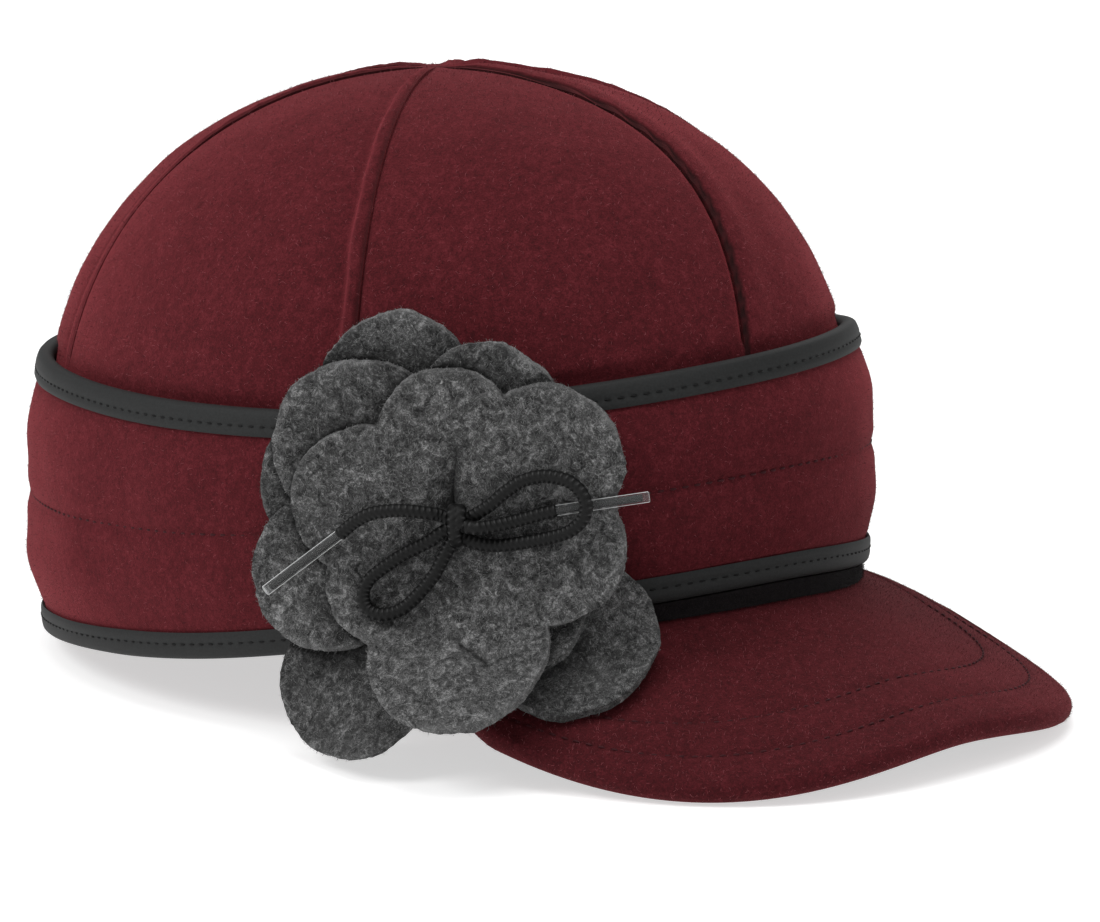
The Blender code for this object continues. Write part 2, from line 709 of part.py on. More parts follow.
def stand_on_floor(objects, cord_names):
    """Hang every piece on one empty and move it so that the box's foot is centred on the origin."""
    bpy.context.view_layer.update()
    graph = bpy.context.evaluated_depsgraph_get()
    lows = [math.inf] * 3
    highs = [-math.inf] * 3
    for obj in objects:
        if obj.name in cord_names:
            continue
        shaped = obj.evaluated_get(graph)
        mesh = shaped.to_mesh()
        for vertex in mesh.vertices:
            point = obj.matrix_world @ vertex.co
            for axis in range(3):
                lows[axis] = min(lows[axis], point[axis])
                highs[axis] = max(highs[axis], point[axis])
        shaped.to_mesh_clear()
    stand = bpy.data.objects.new("cap_stand", None)
    COLLECTION.objects.link(stand)
    stand.location = (-(lows[0] + highs[0]) / 2, -(lows[1] + highs[1]) / 2, -lows[2])
    for obj in objects:
        obj.parent = stand


def main():
    for obj in list(bpy.data.objects):
        bpy.data.objects.remove(obj, do_unlink=True)
    bpy.context.scene.collection.children.link(COLLECTION)
    pieces = [make_crown_panel(number + 1) for number in range(PANEL_COUNT)]
    pieces.append(make_ear_band())
    pieces.append(make_binding("upper_binding", 1, 1))
    pieces.append(make_binding("lower_binding", 0, -1))
    pieces.append(make_base_tape())
    pieces.extend(make_peak())
    pieces.extend(make_flower_layer(level) for level in range(len(LAYERS)))
    pieces.append(add_knot())
    pieces.append(add_cord("bow_loop_left", LEFT_LOOP_ROUTE))
    pieces.append(add_cord("bow_loop_right", RIGHT_LOOP_ROUTE))
    pieces.append(add_cord("bow_tail_left", LEFT_TAIL_ROUTE))
    pieces.append(add_cord("bow_tail_right", RIGHT_TAIL_ROUTE))
    pieces.append(add_aglet("aglet_left", LEFT_TAIL_ROUTE, LEFT_AGLET_TIP, AGLET_LEFT_LENGTH))
    pieces.append(add_aglet("aglet_right", RIGHT_TAIL_ROUTE, RIGHT_AGLET_TIP, AGLET_RIGHT_LENGTH))
    stand_on_floor(pieces, {"bow_loop_left", "bow_loop_right", "bow_tail_left", "bow_tail_right",
                            "aglet_left", "aglet_right"})


main()
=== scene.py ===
"""A six-panel wool cap with a bound ear band, a curved peak and a felt flower tied on with a bow.

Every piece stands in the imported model's frame. A turn is an angle round the cap in degrees, from
the front, positive towards the wearer's left.
"""
import math
import random

import bmesh
import bpy
from mathutils import Matrix, Vector, noise


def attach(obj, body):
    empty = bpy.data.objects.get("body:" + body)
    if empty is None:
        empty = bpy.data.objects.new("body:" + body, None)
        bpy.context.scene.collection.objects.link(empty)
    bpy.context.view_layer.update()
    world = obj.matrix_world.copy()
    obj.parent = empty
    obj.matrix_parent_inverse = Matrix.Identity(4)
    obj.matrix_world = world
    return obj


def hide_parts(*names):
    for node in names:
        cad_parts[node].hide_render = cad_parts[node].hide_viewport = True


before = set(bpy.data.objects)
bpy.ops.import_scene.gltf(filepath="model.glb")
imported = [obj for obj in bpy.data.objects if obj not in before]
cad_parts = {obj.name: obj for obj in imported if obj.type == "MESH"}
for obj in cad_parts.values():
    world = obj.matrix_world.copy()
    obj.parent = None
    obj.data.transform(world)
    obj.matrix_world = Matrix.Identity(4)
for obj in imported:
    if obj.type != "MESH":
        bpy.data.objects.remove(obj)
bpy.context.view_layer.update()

# Where the cap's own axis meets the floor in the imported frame
CAP_AXIS = Vector((0.00498, 0.02683, 0.00006))

# The cap's sizes, in metres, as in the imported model
HEAD_LENGTH = 0.200
HEAD_WIDTH = 0.161
CLOTH = 0.0025
TAPE = 0.0006
BAND_CLOTH = 0.0022
GAP = 0.0003
CROWN_SPRING = 0.054
CROWN_TOP = 0.1398
CROWN_FULLNESS = 2.15
CROWN_LEAN = 0.0025
CROWN_TILT = 0.070
FOOT_TUCK = 0.034
FOOT_TUCK_HEIGHT = 0.017
PANEL_COUNT = 6
SEAM_TURN = -4.0
TIP_HOLE = 0.00005
SEAM_LAP = 0.0004
WELT_WIDTH = 0.0040
WELT_TOP_WIDTH = 0.0026
WELT_RAISE = 0.0009
PANEL_PUFF = 0.0010
WELT_END = 0.12
BAND_HEIGHT = 0.062
BAND_CLEARANCE = 0.0007
BINDING_HEIGHT = 0.0063
FOLD_DEPTH = 0.0007
BASE_TAPE_HEIGHT = 0.0040
BASE_TAPE_TURN = 52.0
PEAK_TURN = 60.0
PEAK_HALF_WIDTH = 0.0803
PEAK_REACH = 0.1032
PEAK_WIDEST = 0.0593
PEAK_SQUARENESS = 2.7
PEAK_SEAM_HEIGHT = 0.0262
PEAK_SLOPE = 0.31
PEAK_ARCH = 0.0222
PEAK_ARCH_POWER = 1.85
PEAK_TOP_THICKNESS = 0.0027
PEAK_UNDER_THICKNESS = 0.0015
PEAK_UNDER_SHARE = 0.90
PEAK_RIM = 0.0027
FELT = 0.0020
FLOWER_TURN = -47.8
FLOWER_HEIGHT = 0.0525
FLOWER_RADIUS = 0.050
FLOWER_HOLE = 0.0022
FLOWER_SEAT = 0.0005
LAYER_STEP = 0.0034
HANG_EASE = 0.0080
VIEW_LIFT = 0.24
CORD_DIAMETER = 0.0033
AGLET_DIAMETER = 0.0024
AGLET_LEFT_LENGTH = 0.0210
AGLET_RIGHT_LENGTH = 0.0205
KNOT_HEIGHT = 0.0096
KNOT_THICKNESS = 0.0066
STITCH_PITCH = 0.0030
STITCH_LENGTH = 0.0017
STITCH_WIDTH = 0.00055
TAPE_STITCH_WIDTH = 0.00048
SHOULDER_HEIGHT = 0.112
SHOULDER_BLEND = 0.018
SEAM_CALM = 0.010
WHIP_WIDTH = 0.0017
WHIP_PITCH = 0.0034
PEAK_STITCH_LINES = (0.012, 0.024)
PEAK_WOOL = 0.0012
STRIP_THICKNESS = 0.0024

# Columns and rows of the sheets' grids, and how much of a panel's rows the band hides
PANEL_GRID = (84, 104)
BAND_GRID = (300, 44)
STRIP_GRID = (160, 6)
PEAK_TOP_GRID = (150, 70)
PEAK_UNDER_GRID = (90, 30)
PETAL_GRID = (420, 30)
BINDING_COLUMNS = 288
BOUND_ROWS = 0.06
HIDDEN_ROWS = 0.14
# Of the peak's rows, the flat top's share; of the rest, the share that turns round the rim
PEAK_FLAT_ROWS = 0.80
PEAK_TURNED_SHARE = 0.55
PEAK_HEM = 0.007

# Fibres: length, width and lean from upright in radians. Real ones are finer and far more, so
# these are drawn wide enough to show.
CROWN_NAP = (0.0011, 0.00007, 1.38)
BAND_NAP = (0.0010, 0.00006, 1.38)
STRIP_NAP = (0.0011, 0.00008, 1.2)
FELT_HAIR = (0.0013, 0.00007, 1.46)
PANEL_FIBRES = 7000
BAND_FIBRES = 20000
STRIP_FIBRES = 5000
PEAK_FIBRES = 20000
LAYER_FIBRES = 9000
# Running share of fibres of the middle, the pale and the dark colour
WOOL_MIX = (0.50, 0.76, 1.0)
FELT_MIX = (0.34, 0.66, 1.0)

# The front seam's bow to its side, and each seam's swing at the foot, in degrees
FRONT_SEAM_BOW = 6.4
SEAM_SWINGS = (16.0, 0.0, -10.0, 0.0, 0.0, 0.0)
# Turn, then the heights of the lower and the upper binding's middle line as shares of the band
BAND_EDGES = (
    (-150, 0.085, 1.085),
    (-120, 0.166, 1.113),
    (-90, 0.274, 1.137),
    (-60, 0.431, 1.194),
    (-30, 0.574, 1.303),
    (0, 0.615, 1.355),
    (30, 0.526, 1.338),
    (60, 0.395, 1.235),
    (90, 0.258, 1.169),
    (120, 0.155, 1.113),
    (150, 0.085, 1.081),
    (180, 0.045, 1.065),
)
# Share of the band's height, then its swell as a share of its cloth
BAND_SWELL = (
    (0.00, 0.30),
    (0.28, 1.15),
    (0.50, 0.80),
    (0.72, 1.00),
    (1.00, 0.00),
)
# Upright folds of the band: turn, half width in degrees, share of the fold depth
BAND_FOLDS = (
    (-112, 7, 1.0),
    (-99, 5, -0.7),
    (-135, 9, -0.8),
    (118, 8, 0.9),
    (160, 10, -0.6),
)
# Petals: direction from the right, then the round end's centre and radius as shares of the reach
BACK_PETALS = (
    (115, 0.686, 0.340),
    (160, 0.590, 0.360),
    (237, 0.840, 0.360),
    (315, 0.680, 0.380),
    (38, 0.400, 0.340),
)
MIDDLE_PETALS = (
    (142, 0.556, 0.400),
    (77, 0.524, 0.320),
    (201, 0.620, 0.360),
    (18, 0.360, 0.340),
    (300, 0.400, 0.360),
)
TOP_PETALS = (
    (166, 0.412, 0.340),
    (96, 0.402, 0.310),
    (38, 0.484, 0.350),
    (350, 0.364, 0.380),
    (272, 0.540, 0.400),
    (225, 0.368, 0.320),
)
# Name, petals, swell of the rim and pull of the middle as shares of the felt
LAYERS = (
    ("flower_back", BACK_PETALS, 0.3, 0.0),
    ("flower_middle", MIDDLE_PETALS, 0.8, 0.25),
    ("flower_top", TOP_PETALS, 1.5, 0.5),
)
# The bow's routes: right of and above the knot, and off the felt, in metres
LEFT_LOOP_ROUTE = (
    (-0.0033, -0.0016, 0.0012),
    (-0.0066, -0.0040, 0.0008),
    (-0.0111, -0.0064, 0.0006),
    (-0.0158, -0.0096, 0.0006),
    (-0.0193, -0.0126, 0.0006),
    (-0.0207, -0.0160, 0.0006),
    (-0.0196, -0.0192, 0.0006),
    (-0.0162, -0.0204, 0.0006),
    (-0.0122, -0.0192, 0.0006),
    (-0.0087, -0.0160, 0.0006),
    (-0.0052, -0.0116, 0.0006),
    (-0.0028, -0.0070, 0.0008),
)
RIGHT_LOOP_ROUTE = (
    (0.0034, 0.0022, 0.0010),
    (0.0073, 0.0048, 0.0008),
    (0.0109, 0.0080, 0.0006),
    (0.0149, 0.0106, 0.0006),
    (0.0200, 0.0116, 0.0010),
    (0.0251, 0.0104, 0.0024),
    (0.0283, 0.0070, 0.0034),
    (0.0284, 0.0030, 0.0034),
    (0.0252, -0.0004, 0.0022),
    (0.0200, -0.0022, 0.0008),
    (0.0133, -0.0036, 0.0006),
    (0.0082, -0.0042, 0.0006),
    (0.0036, -0.0036, 0.0008),
)
LEFT_TAIL_ROUTE = (
    (-0.0036, 0.0022, 0.0014),
    (-0.0064, 0.0026, 0.0026),
    (-0.0122, 0.0030, 0.0034),
    (-0.0182, 0.0022, 0.0030),
    (-0.0224, 0.0002, 0.0018),
    (-0.0258, -0.0026, 0.0010),
)
RIGHT_TAIL_ROUTE = (
    (0.0038, -0.0004, 0.0042),
    (0.0076, 0.0000, 0.0030),
    (0.0130, 0.0014, 0.0010),
    (0.0180, 0.0030, 0.0006),
    (0.0216, 0.0040, 0.0006),
)
LEFT_AGLET_TIP = (-0.0424, -0.0158, 0.0022)
RIGHT_AGLET_TIP = (0.0424, 0.0078, 0.0004)

CROWN_HALF_LENGTH = HEAD_LENGTH / 2 + CLOTH
CROWN_HALF_WIDTH = HEAD_WIDTH / 2 + CLOTH
MEAN_RADIUS = (CROWN_HALF_LENGTH + CROWN_HALF_WIDTH) / 2
BAND_STEP = BAND_CLEARANCE + TAPE + GAP + BAND_CLOTH
HALF_PANEL = 180.0 / PANEL_COUNT
PEAK_THICKNESS = PEAK_TOP_THICKNESS + GAP + PEAK_UNDER_THICKNESS
UP = Vector((0.0, 0.0, 1.0))


# The cap's surfaces, as the model has them.

def ease(share):
    share = min(1.0, max(0.0, share))
    return share * share * (3.0 - 2.0 * share)


def mix(start, end, share):
    return start + (end - start) * share


def bell(distance, width):
    """A smooth hump of height 1 and about that half width."""
    return math.exp(-(distance / width) ** 2)


def signed_power(value, power):
    return math.copysign(abs(value) ** power, value)


def smooth_value(before, start, end, after, share):
    bend = (end - before) / 2
    exit_bend = (after - start) / 2
    drop = start - end
    return (start + bend * share
            + (-3 * drop - 2 * bend - exit_bend) * share ** 2
            + (2 * drop + bend + exit_bend) * share ** 3)


def waver(point, size, seed=0.0):
    """Smooth random value from -1 to 1 that changes over the given length."""
    return noise.noise(point / size + Vector((seed, seed * 1.7, -seed)))


def band_edge(turn, column):
    step = 360.0 / len(BAND_EDGES)
    place = ((turn - BAND_EDGES[0][0]) % 360.0) / step
    row = int(place)
    values = [BAND_EDGES[(row + k) % len(BAND_EDGES)][column] for k in (-1, 0, 1, 2)]
    return BAND_HEIGHT * smooth_value(*values, place - row)


def from_table(rows, share):
    for (place, value), (next_place, next_value) in zip(rows, rows[1:]):
        if share <= next_place:
            return mix(value, next_value, ease((share - place) / (next_place - place)))
    return rows[-1][1]


def plan_normal(turn):
    angle = math.radians(turn)
    return Vector((math.sin(angle) / CROWN_HALF_WIDTH,
                   -math.cos(angle) / CROWN_HALF_LENGTH, 0.0)).normalized()


def plan_tangent(turn):
    return UP.cross(plan_normal(turn))


def crown_share(turn, height):
    angle = math.radians(turn)
    level = height - CROWN_TILT * CROWN_HALF_LENGTH * math.cos(angle)
    rise = max(0.0, (level - CROWN_SPRING) / (CROWN_TOP - CROWN_SPRING))
    backness = (1.0 - math.cos(angle)) / 2
    tuck = ease(1.0 - (height - band_edge(turn, 1)) / FOOT_TUCK_HEIGHT)
    return ((1.0 - min(1.0, rise) ** CROWN_FULLNESS) ** (1.0 / CROWN_FULLNESS)
            - FOOT_TUCK * backness * tuck)


def crown_point(turn, share, height):
    angle = math.radians(turn)
    rise = max(0.0, (height - CROWN_SPRING) / (CROWN_TOP - CROWN_SPRING))
    return Vector((CROWN_HALF_WIDTH * share * math.sin(angle),
                   -CROWN_HALF_LENGTH * share * math.cos(angle) + CROWN_LEAN * rise ** 2,
                   height))


def crown_normal(turn, share, height):
    rise = max(0.0, (height - CROWN_SPRING) / (CROWN_TOP - CROWN_SPRING))
    flat = plan_normal(turn) * share ** (CROWN_FULLNESS - 1)
    spread = MEAN_RADIUS / (CROWN_TOP - CROWN_SPRING)
    return (flat + UP * spread * rise ** (CROWN_FULLNESS - 1)).normalized()


def band_fold(turn):
    move = 0.0
    for place, half_width, depth in BAND_FOLDS:
        away = abs((turn - place + 180.0) % 360.0 - 180.0) / half_width
        move += FOLD_DEPTH * depth * (1.0 - ease(away / 2))
    return move


def band_point(turn, share):
    height = mix(band_edge(turn, 1), band_edge(turn, 2), share)
    fold = band_fold(turn) * 4 * share * (1 - share)
    out = BAND_STEP + BAND_CLOTH * from_table(BAND_SWELL, share) + fold
    return crown_point(turn, crown_share(turn, height), height) + plan_normal(turn) * out


def band_frame(turn, share):
    place = band_point(turn, share)
    inward = 0.04 if share < 0.5 else -0.04
    along = (band_point(turn, share + inward) - place) * math.copysign(1.0, inward)
    along.normalize()
    return place, plan_tangent(turn).cross(along).normalized(), along


def seam_turn(number, share):
    turn = SEAM_TURN - 2 * HALF_PANEL * number
    turn += SEAM_SWINGS[int(number) % len(SEAM_SWINGS)] * (1.0 - share)
    if number % PANEL_COUNT == 0:
        turn += FRONT_SEAM_BOW * math.sin(math.pi * share ** 1.5)
    return turn


def base_tape_height(turn):
    return BASE_TAPE_HEIGHT * mix(1.0, 0.35, (abs(turn) / BASE_TAPE_TURN) ** 2)


def peak_fall(x, y):
    return (PEAK_SEAM_HEIGHT + PEAK_SLOPE * (y + CROWN_HALF_LENGTH + BAND_STEP)
            - PEAK_ARCH * abs(x / PEAK_HALF_WIDTH) ** PEAK_ARCH_POWER)


def peak_point(u, v):
    """Point of the peak's upper side, u across and v outward from 0 to 1."""
    side = 2.0 * u - 1.0
    turn = PEAK_TURN * side
    seam, normal, along = band_frame(turn, 0)
    seat = seam - normal * CLOTH - along * (BINDING_HEIGHT / 2 + 2 * GAP + base_tape_height(
        min(abs(turn), BASE_TAPE_TURN)))
    angle = math.pi / 2 * side
    edge_x = PEAK_HALF_WIDTH * signed_power(math.sin(angle), 2 / PEAK_SQUARENESS)
    edge_y = -PEAK_WIDEST - PEAK_REACH * abs(math.cos(angle)) ** (2 / PEAK_SQUARENESS)
    tuck = ease((abs(side) - 0.86) / 0.14) * 0.75
    edge_x = mix(edge_x, seat.x, tuck)
    edge_y = mix(edge_y, seat.y, tuck)
    x = mix(seat.x, edge_x, v)
    y = mix(seat.y, edge_y, v)
    lift = PEAK_THICKNESS / 2
    seat_lift = seat.z - peak_fall(seat.x, seat.y) - lift
    corner = ease((abs(side) - 0.86) / 0.14)
    height = peak_fall(x, y) + lift + seat_lift * mix((1.0 - v) ** 2, 1.0, corner)
    return Vector((x, y, height))


def petal_reach(petals, direction):
    reach = 0.32 * FLOWER_RADIUS
    for heading, centre, radius in petals:
        away = math.radians(direction - heading)
        across = centre * math.sin(away)
        if math.cos(away) > 0 and abs(across) < radius:
            out = centre * math.cos(away) + math.sqrt(radius ** 2 - across ** 2)
            reach = max(reach, FLOWER_RADIUS * out)
    return reach


def flower_frame():
    share = (FLOWER_HEIGHT - band_edge(FLOWER_TURN, 1)) / (
        band_edge(FLOWER_TURN, 2) - band_edge(FLOWER_TURN, 1))
    return band_point(FLOWER_TURN, share), plan_tangent(FLOWER_TURN), UP, plan_normal(FLOWER_TURN)


FLOWER_BASE, FLOWER_RIGHT, FLOWER_UP, FLOWER_OUT = flower_frame()


def layer_depth(level, x, rise):
    _, _, swell, pull = LAYERS[level]
    radius = math.hypot(x, rise)
    below = -rise - 0.57 * FLOWER_RADIUS
    hang = (below + math.hypot(below, HANG_EASE)) / 2
    over_peak = ease((x + 0.9 * FLOWER_RADIUS) / (0.9 * FLOWER_RADIUS))
    wrap = -x * x / (4.4 * CROWN_HALF_LENGTH) * (1.0 - over_peak * ease(hang / HANG_EASE))
    flare = mix(0.25, 1.25, over_peak) * hang
    rim = swell * FELT * (radius / FLOWER_RADIUS) ** 2
    middle = pull * FELT * math.exp(-(radius / (0.15 * FLOWER_RADIUS)) ** 2)
    step = LAYER_STEP * (1.0 + 0.6 * ease(hang / HANG_EASE))
    return FLOWER_SEAT + level * step + wrap + flare + rim - middle


def flower_point(x, rise, depth):
    return (FLOWER_BASE + FLOWER_RIGHT * x + FLOWER_UP * (rise + VIEW_LIFT * depth)
            + FLOWER_OUT * depth)


def bow_point(x, rise, stand):
    depth = layer_depth(len(LAYERS) - 1, x, rise) + FELT + stand + CORD_DIAMETER / 2
    return flower_point(x, rise, depth)


def path_length(points):
    return sum((after - point).length for point, after in zip(points, points[1:]))


def even_spots(lengths, count):
    """Row and share of the way to the next row, for even steps along the running lengths."""
    row = 0
    for k in range(count + 1):
        wanted = lengths[-1] * k / count
        while row < len(lengths) - 2 and lengths[row + 1] < wanted:
            row += 1
        yield row, (wanted - lengths[row]) / max(1e-9, lengths[row + 1] - lengths[row])


def smooth_route(points, step):
    """Points every step along a smooth curve through the given points."""
    fine = []
    parts = 12
    for index in range(len(points) - 1):
        before = points[max(0, index - 1)]
        after = points[min(len(points) - 1, index + 2)]
        for k in range(parts):
            fine.append(Vector([smooth_value(before[axis], points[index][axis],
                                             points[index + 1][axis], after[axis], k / parts)
                                for axis in range(3)]))
    fine.append(Vector(points[-1]))
    lengths = [0.0]
    for start, end in zip(fine, fine[1:]):
        lengths.append(lengths[-1] + (end - start).length)
    count = max(2, round(lengths[-1] / step))
    return [fine[row].lerp(fine[row + 1], share) for row, share in even_spots(lengths, count)]


# Finishes of the cap's cloths, felt, tape and cord.

def linear(code):
    """sRGB hex code to a linear colour."""
    channels = [int(code[k:k + 2], 16) / 255 for k in (1, 3, 5)]
    return (*[c / 12.92 if c <= 0.04045 else ((c + 0.055) / 1.055) ** 2.4 for c in channels], 1.0)


def add_node(tree, kind, settings=None, links=None, stops=()):
    """One node with its settings, its links from other sockets and, on a ramp, its stops."""
    node = tree.nodes.new(kind)
    for key, value in (settings or {}).items():
        if isinstance(key, str) and hasattr(node, key):
            setattr(node, key, value)
        else:
            node.inputs[key].default_value = value
    for key, source in (links or {}).items():
        tree.links.new(source, node.inputs[key])
    for _ in stops[2:]:
        node.color_ramp.elements.new(0.5)
    for index, (place, code) in enumerate(stops):
        node.color_ramp.elements[index].position = place
        node.color_ramp.elements[index].color = linear(code)
    return node


def new_finish(name, **sockets):
    """A material and its tree and shader, with the shader's sockets set."""
    material = bpy.data.materials.new(name)
    material.use_nodes = True
    shader = material.node_tree.nodes["Principled BSDF"]
    for key, value in sockets.items():
        shader.inputs[key.replace("_", " ")].default_value = value
    return material, material.node_tree, shader


def per_mm(millimetres):
    """Noise scale whose grains are about this many millimetres across."""
    return 1000.0 / millimetres


def add_tone(tree, color, deep, pale):
    """The colour darker where the tone is above 0 and paler where it is below: painted shade in
    creases, grooves and under edges, painted highlights on lit welts and raised strands, and random
    spots along the felt's rims.
    """
    tone = add_node(tree, "ShaderNodeAttribute", {"attribute_name": "tone"}).outputs["Fac"]
    dark = add_node(tree, "ShaderNodeClamp", links={"Value": tone}).outputs["Result"]
    turned = add_node(tree, "ShaderNodeMath", {"operation": "MULTIPLY", 1: -1.0}, {0: tone})
    light = add_node(tree, "ShaderNodeClamp", links={"Value": turned.outputs[0]}).outputs["Result"]
    for share, code in ((dark, deep), (light, pale)):
        blend = add_node(tree, "ShaderNodeMix", {"data_type": "RGBA"})
        tree.links.new(share, blend.inputs["Factor"])
        tree.links.new(color, blend.inputs[6])
        blend.inputs[7].default_value = linear(code)
        color = blend.outputs[2]
    return color


def fibrous_finish(name, grains, stops, tones=None, bump=None, **sockets):
    """A cloth's or cord's finish, from noise of a few sizes of grain.

    A grain is its size in mm, its detail, roughness and distortion, and its share of the mix. The
    mix takes its colours from the stops. The tones are the dark and the pale colour that the tone
    attribute blends in, as add_tone says.
    The bump is its strength, its depth and whether it follows the mix or the first grain alone.
    """
    material, tree, shader = new_finish(name, **sockets)
    place = add_node(tree, "ShaderNodeTexCoord").outputs["Object"]
    mixed = None
    for size, detail, roughness, distortion, share in grains:
        grain = add_node(tree, "ShaderNodeTexNoise", {
            "Scale": per_mm(size), "Detail": detail, "Roughness": roughness,
            "Distortion": distortion}, {"Vector": place}).outputs["Fac"]
        if mixed is None:
            first = mixed = grain
        else:
            mixed = add_node(tree, "ShaderNodeMix", {"data_type": "FLOAT", "Factor": share},
                             {"A": mixed, "B": grain}).outputs["Result"]
    color = add_node(tree, "ShaderNodeValToRGB", None, {"Fac": mixed}, stops).outputs["Color"]
    if tones:
        color = add_tone(tree, color, *tones)
    tree.links.new(color, shader.inputs["Base Color"])
    if bump:
        strength, depth, follows_mix = bump
        relief = add_node(tree, "ShaderNodeBump", {"Strength": strength, "Distance": depth},
                          {"Height": mixed if follows_mix else first})
        tree.links.new(relief.outputs["Normal"], shader.inputs["Normal"])
    return material


def milled_wool(name, dark, middle, light, grain, sheen, bloom):
    """Milled wool: short matted fibres in many directions, matt, with a faint bloom at its edges.

    The fibres' grain is drawn coarser than real ones, which are too fine to show.
    """
    grains = ((grain, 3.0, 0.65, 1.2, 0.0), (2.2, 2.0, 0.6, 0.0, 0.30), (9.0, 2.0, 0.5, 0.0, 0.12))
    # its near-black tone is painted shade in seam creases and grooves; its pale tone, the light
    # colour, is a painted highlight on the welts' lit edges
    return fibrous_finish(
        name, grains, ((0.34, dark), (0.5, middle), (0.68, light)), ("#190a0a", light),
        (0.55, 0.00025, False), Roughness=0.95, Specular_IOR_Level=0.12, Sheen_Weight=sheen,
        Sheen_Roughness=0.45, Sheen_Tint=linear(bloom))


def plain_fibre(name, code, roughness=0.9):
    """One colour of wool fibre or thread, matt."""
    material, _, shader = new_finish(name, Roughness=roughness, Specular_IOR_Level=0.2)
    shader.inputs["Base Color"].default_value = linear(code)
    return material


def clear_plastic(name):
    """Clear acetate film rolled round the cord's end: smooth and shiny, and pale and opaque where it
    curves away, which is painted reflection.
    """
    material, tree, shader = new_finish(name, Roughness=0.08, IOR=1.47)
    shader.inputs["Base Color"].default_value = linear("#f4f6f6")
    slope = add_node(tree, "ShaderNodeLayerWeight", {"Blend": 0.5}).outputs["Facing"]
    film = add_node(tree, "ShaderNodeMapRange", {
        "From Min": 0.50, "From Max": 0.75, "To Min": 0.04, "To Max": 0.95}, {"Value": slope})
    tree.links.new(film.outputs["Result"], shader.inputs["Alpha"])
    return material


CROWN_WOOL = milled_wool("milled_wool", "#310e11", "#471419", "#602329", 0.6, 0.55, "#b4454d")
# The peak's wool: the crown's wool with less sheen, in darker colours that are painted shade
SHADED_PEAK_WOOL = milled_wool("peak_wool_painted_shade", "#2c0c0f", "#401216", "#581f25", 0.6, 0.32, "#b4454d")
VISOR_CLOTH = milled_wool("dark_lining_cloth", "#0a0809", "#131011", "#201c1d", 0.5, 0.1, "#201c1d")
# Thick grey felt: dark and pale wool felted together, coarse and hairy. Its dark tone is painted
# shade under the upper layers' edges, in the folds and round the knot; its pale tone makes the rims
# paler at random
GREY_FELT = fibrous_finish(
    "heather_felt", ((1.15, 4.0, 0.72, 2.6, 0.0), (2.6, 2.0, 0.6, 1.0, 0.42)),
    ((0.37, "#191919"), (0.46, "#393939"), (0.54, "#565656"), (0.66, "#949494")),
    ("#080808", "#7d7d7d"), (0.8, 0.0005, True),
    Roughness=0.95, Specular_IOR_Level=0.15, Sheen_Weight=0.12, Sheen_Roughness=0.5)
# Charcoal bias tape: even weave, drawn coarser than real, smooth, with a slight soft shine
BINDING_TAPE = fibrous_finish(
    "bias_tape", ((0.5, 2.0, 0.5, 0.0, 0.0),), ((0.3, "#161717"), (0.7, "#202121")), None,
    (0.25, 0.0001, False), Roughness=0.72, Specular_IOR_Level=0.3)
# Black polyester braid: dull, with a low shine on the raised strands, partly its own gloss and partly
# a painted highlight from its pale tone; its valleys get painted shade
CORD_BRAID = fibrous_finish(
    "polyester_braid", ((0.4, 2.0, 0.5, 0.0, 0.0),), ((0.3, "#080808"), (0.7, "#121212")),
    ("#010101", "#5c5c5c"), Roughness=0.6, Specular_IOR_Level=0.22)
AGLET_FILM = clear_plastic("acetate_tip")
TAPE_THREAD = plain_fibre("tape_thread", "#080808", 0.6)
WOOL_THREAD = plain_fibre("burgundy_thread", "#360f14", 0.7)
WOOL_FIBRES = (plain_fibre("wool_fibre_mid", "#4b171c"), plain_fibre("wool_fibre_pale", "#8c4c52"),
               plain_fibre("wool_fibre_dark", "#260a0e"))
FELT_FIBRES = (plain_fibre("felt_fibre_mid", "#454545"), plain_fibre("felt_fibre_pale", "#868686"),
               plain_fibre("felt_fibre_dark", "#111111"))
DARK_FIBRES = (plain_fibre("lining_fibre", "#1b1718"),)


# Sheets of cloth, fibres and stitches.

def new_piece(name, mesh, *materials):
    """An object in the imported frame."""
    piece = bpy.data.objects.new(name, mesh)
    bpy.context.scene.collection.objects.link(piece)
    for material in materials:
        piece.data.materials.append(material)
    return piece


def shaped_piece(name, shape, material):
    """A smooth piece from a finished shape."""
    mesh = bpy.data.meshes.new(name)
    shape.to_mesh(mesh)
    shape.free()
    mesh.shade_smooth()
    return new_piece(name, mesh, material)


def dress(piece, node=None):
    """The piece rides on the cap and may stand for a node, which it hides."""
    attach(piece, "root")
    if node:
        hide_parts(node)
    return piece


def cloth_sheet(name, place, across, along, thickness, side, material, weld=False):
    """A fine sheet shaped by place(u, v), given a thickness; place may give a tone as well."""
    shape = bmesh.new()
    tone = shape.verts.layers.float.new("tone")
    bmesh.ops.create_grid(shape, x_segments=across, y_segments=along, size=0.5)
    for vertex in shape.verts:
        u = min(1.0, max(0.0, vertex.co.x + 0.5))
        v = min(1.0, max(0.0, vertex.co.y + 0.5))
        spot = place(u, v)
        if isinstance(spot, tuple):
            spot, vertex[tone] = spot
        vertex.co = CAP_AXIS + spot
    if weld:
        bmesh.ops.remove_doubles(shape, verts=shape.verts, dist=0.00002)
    piece = shaped_piece(name, shape, material)
    solid = piece.modifiers.new("thickness", "SOLIDIFY")
    solid.thickness = thickness
    solid.offset = side
    graph = bpy.context.evaluated_depsgraph_get()
    thick = bpy.data.meshes.new_from_object(piece.evaluated_get(graph))
    piece.modifiers.clear()
    piece.data = thick
    thick.name = name
    thick.set_sharp_from_angle(angle=math.radians(55))
    return piece


def run_length(place, start, end):
    """Length of the surface's line between two places of its grid."""
    steps = [place(mix(start[0], end[0], k / 40), mix(start[1], end[1], k / 40)) for k in range(41)]
    return path_length([step[0] if isinstance(step, tuple) else step for step in steps])


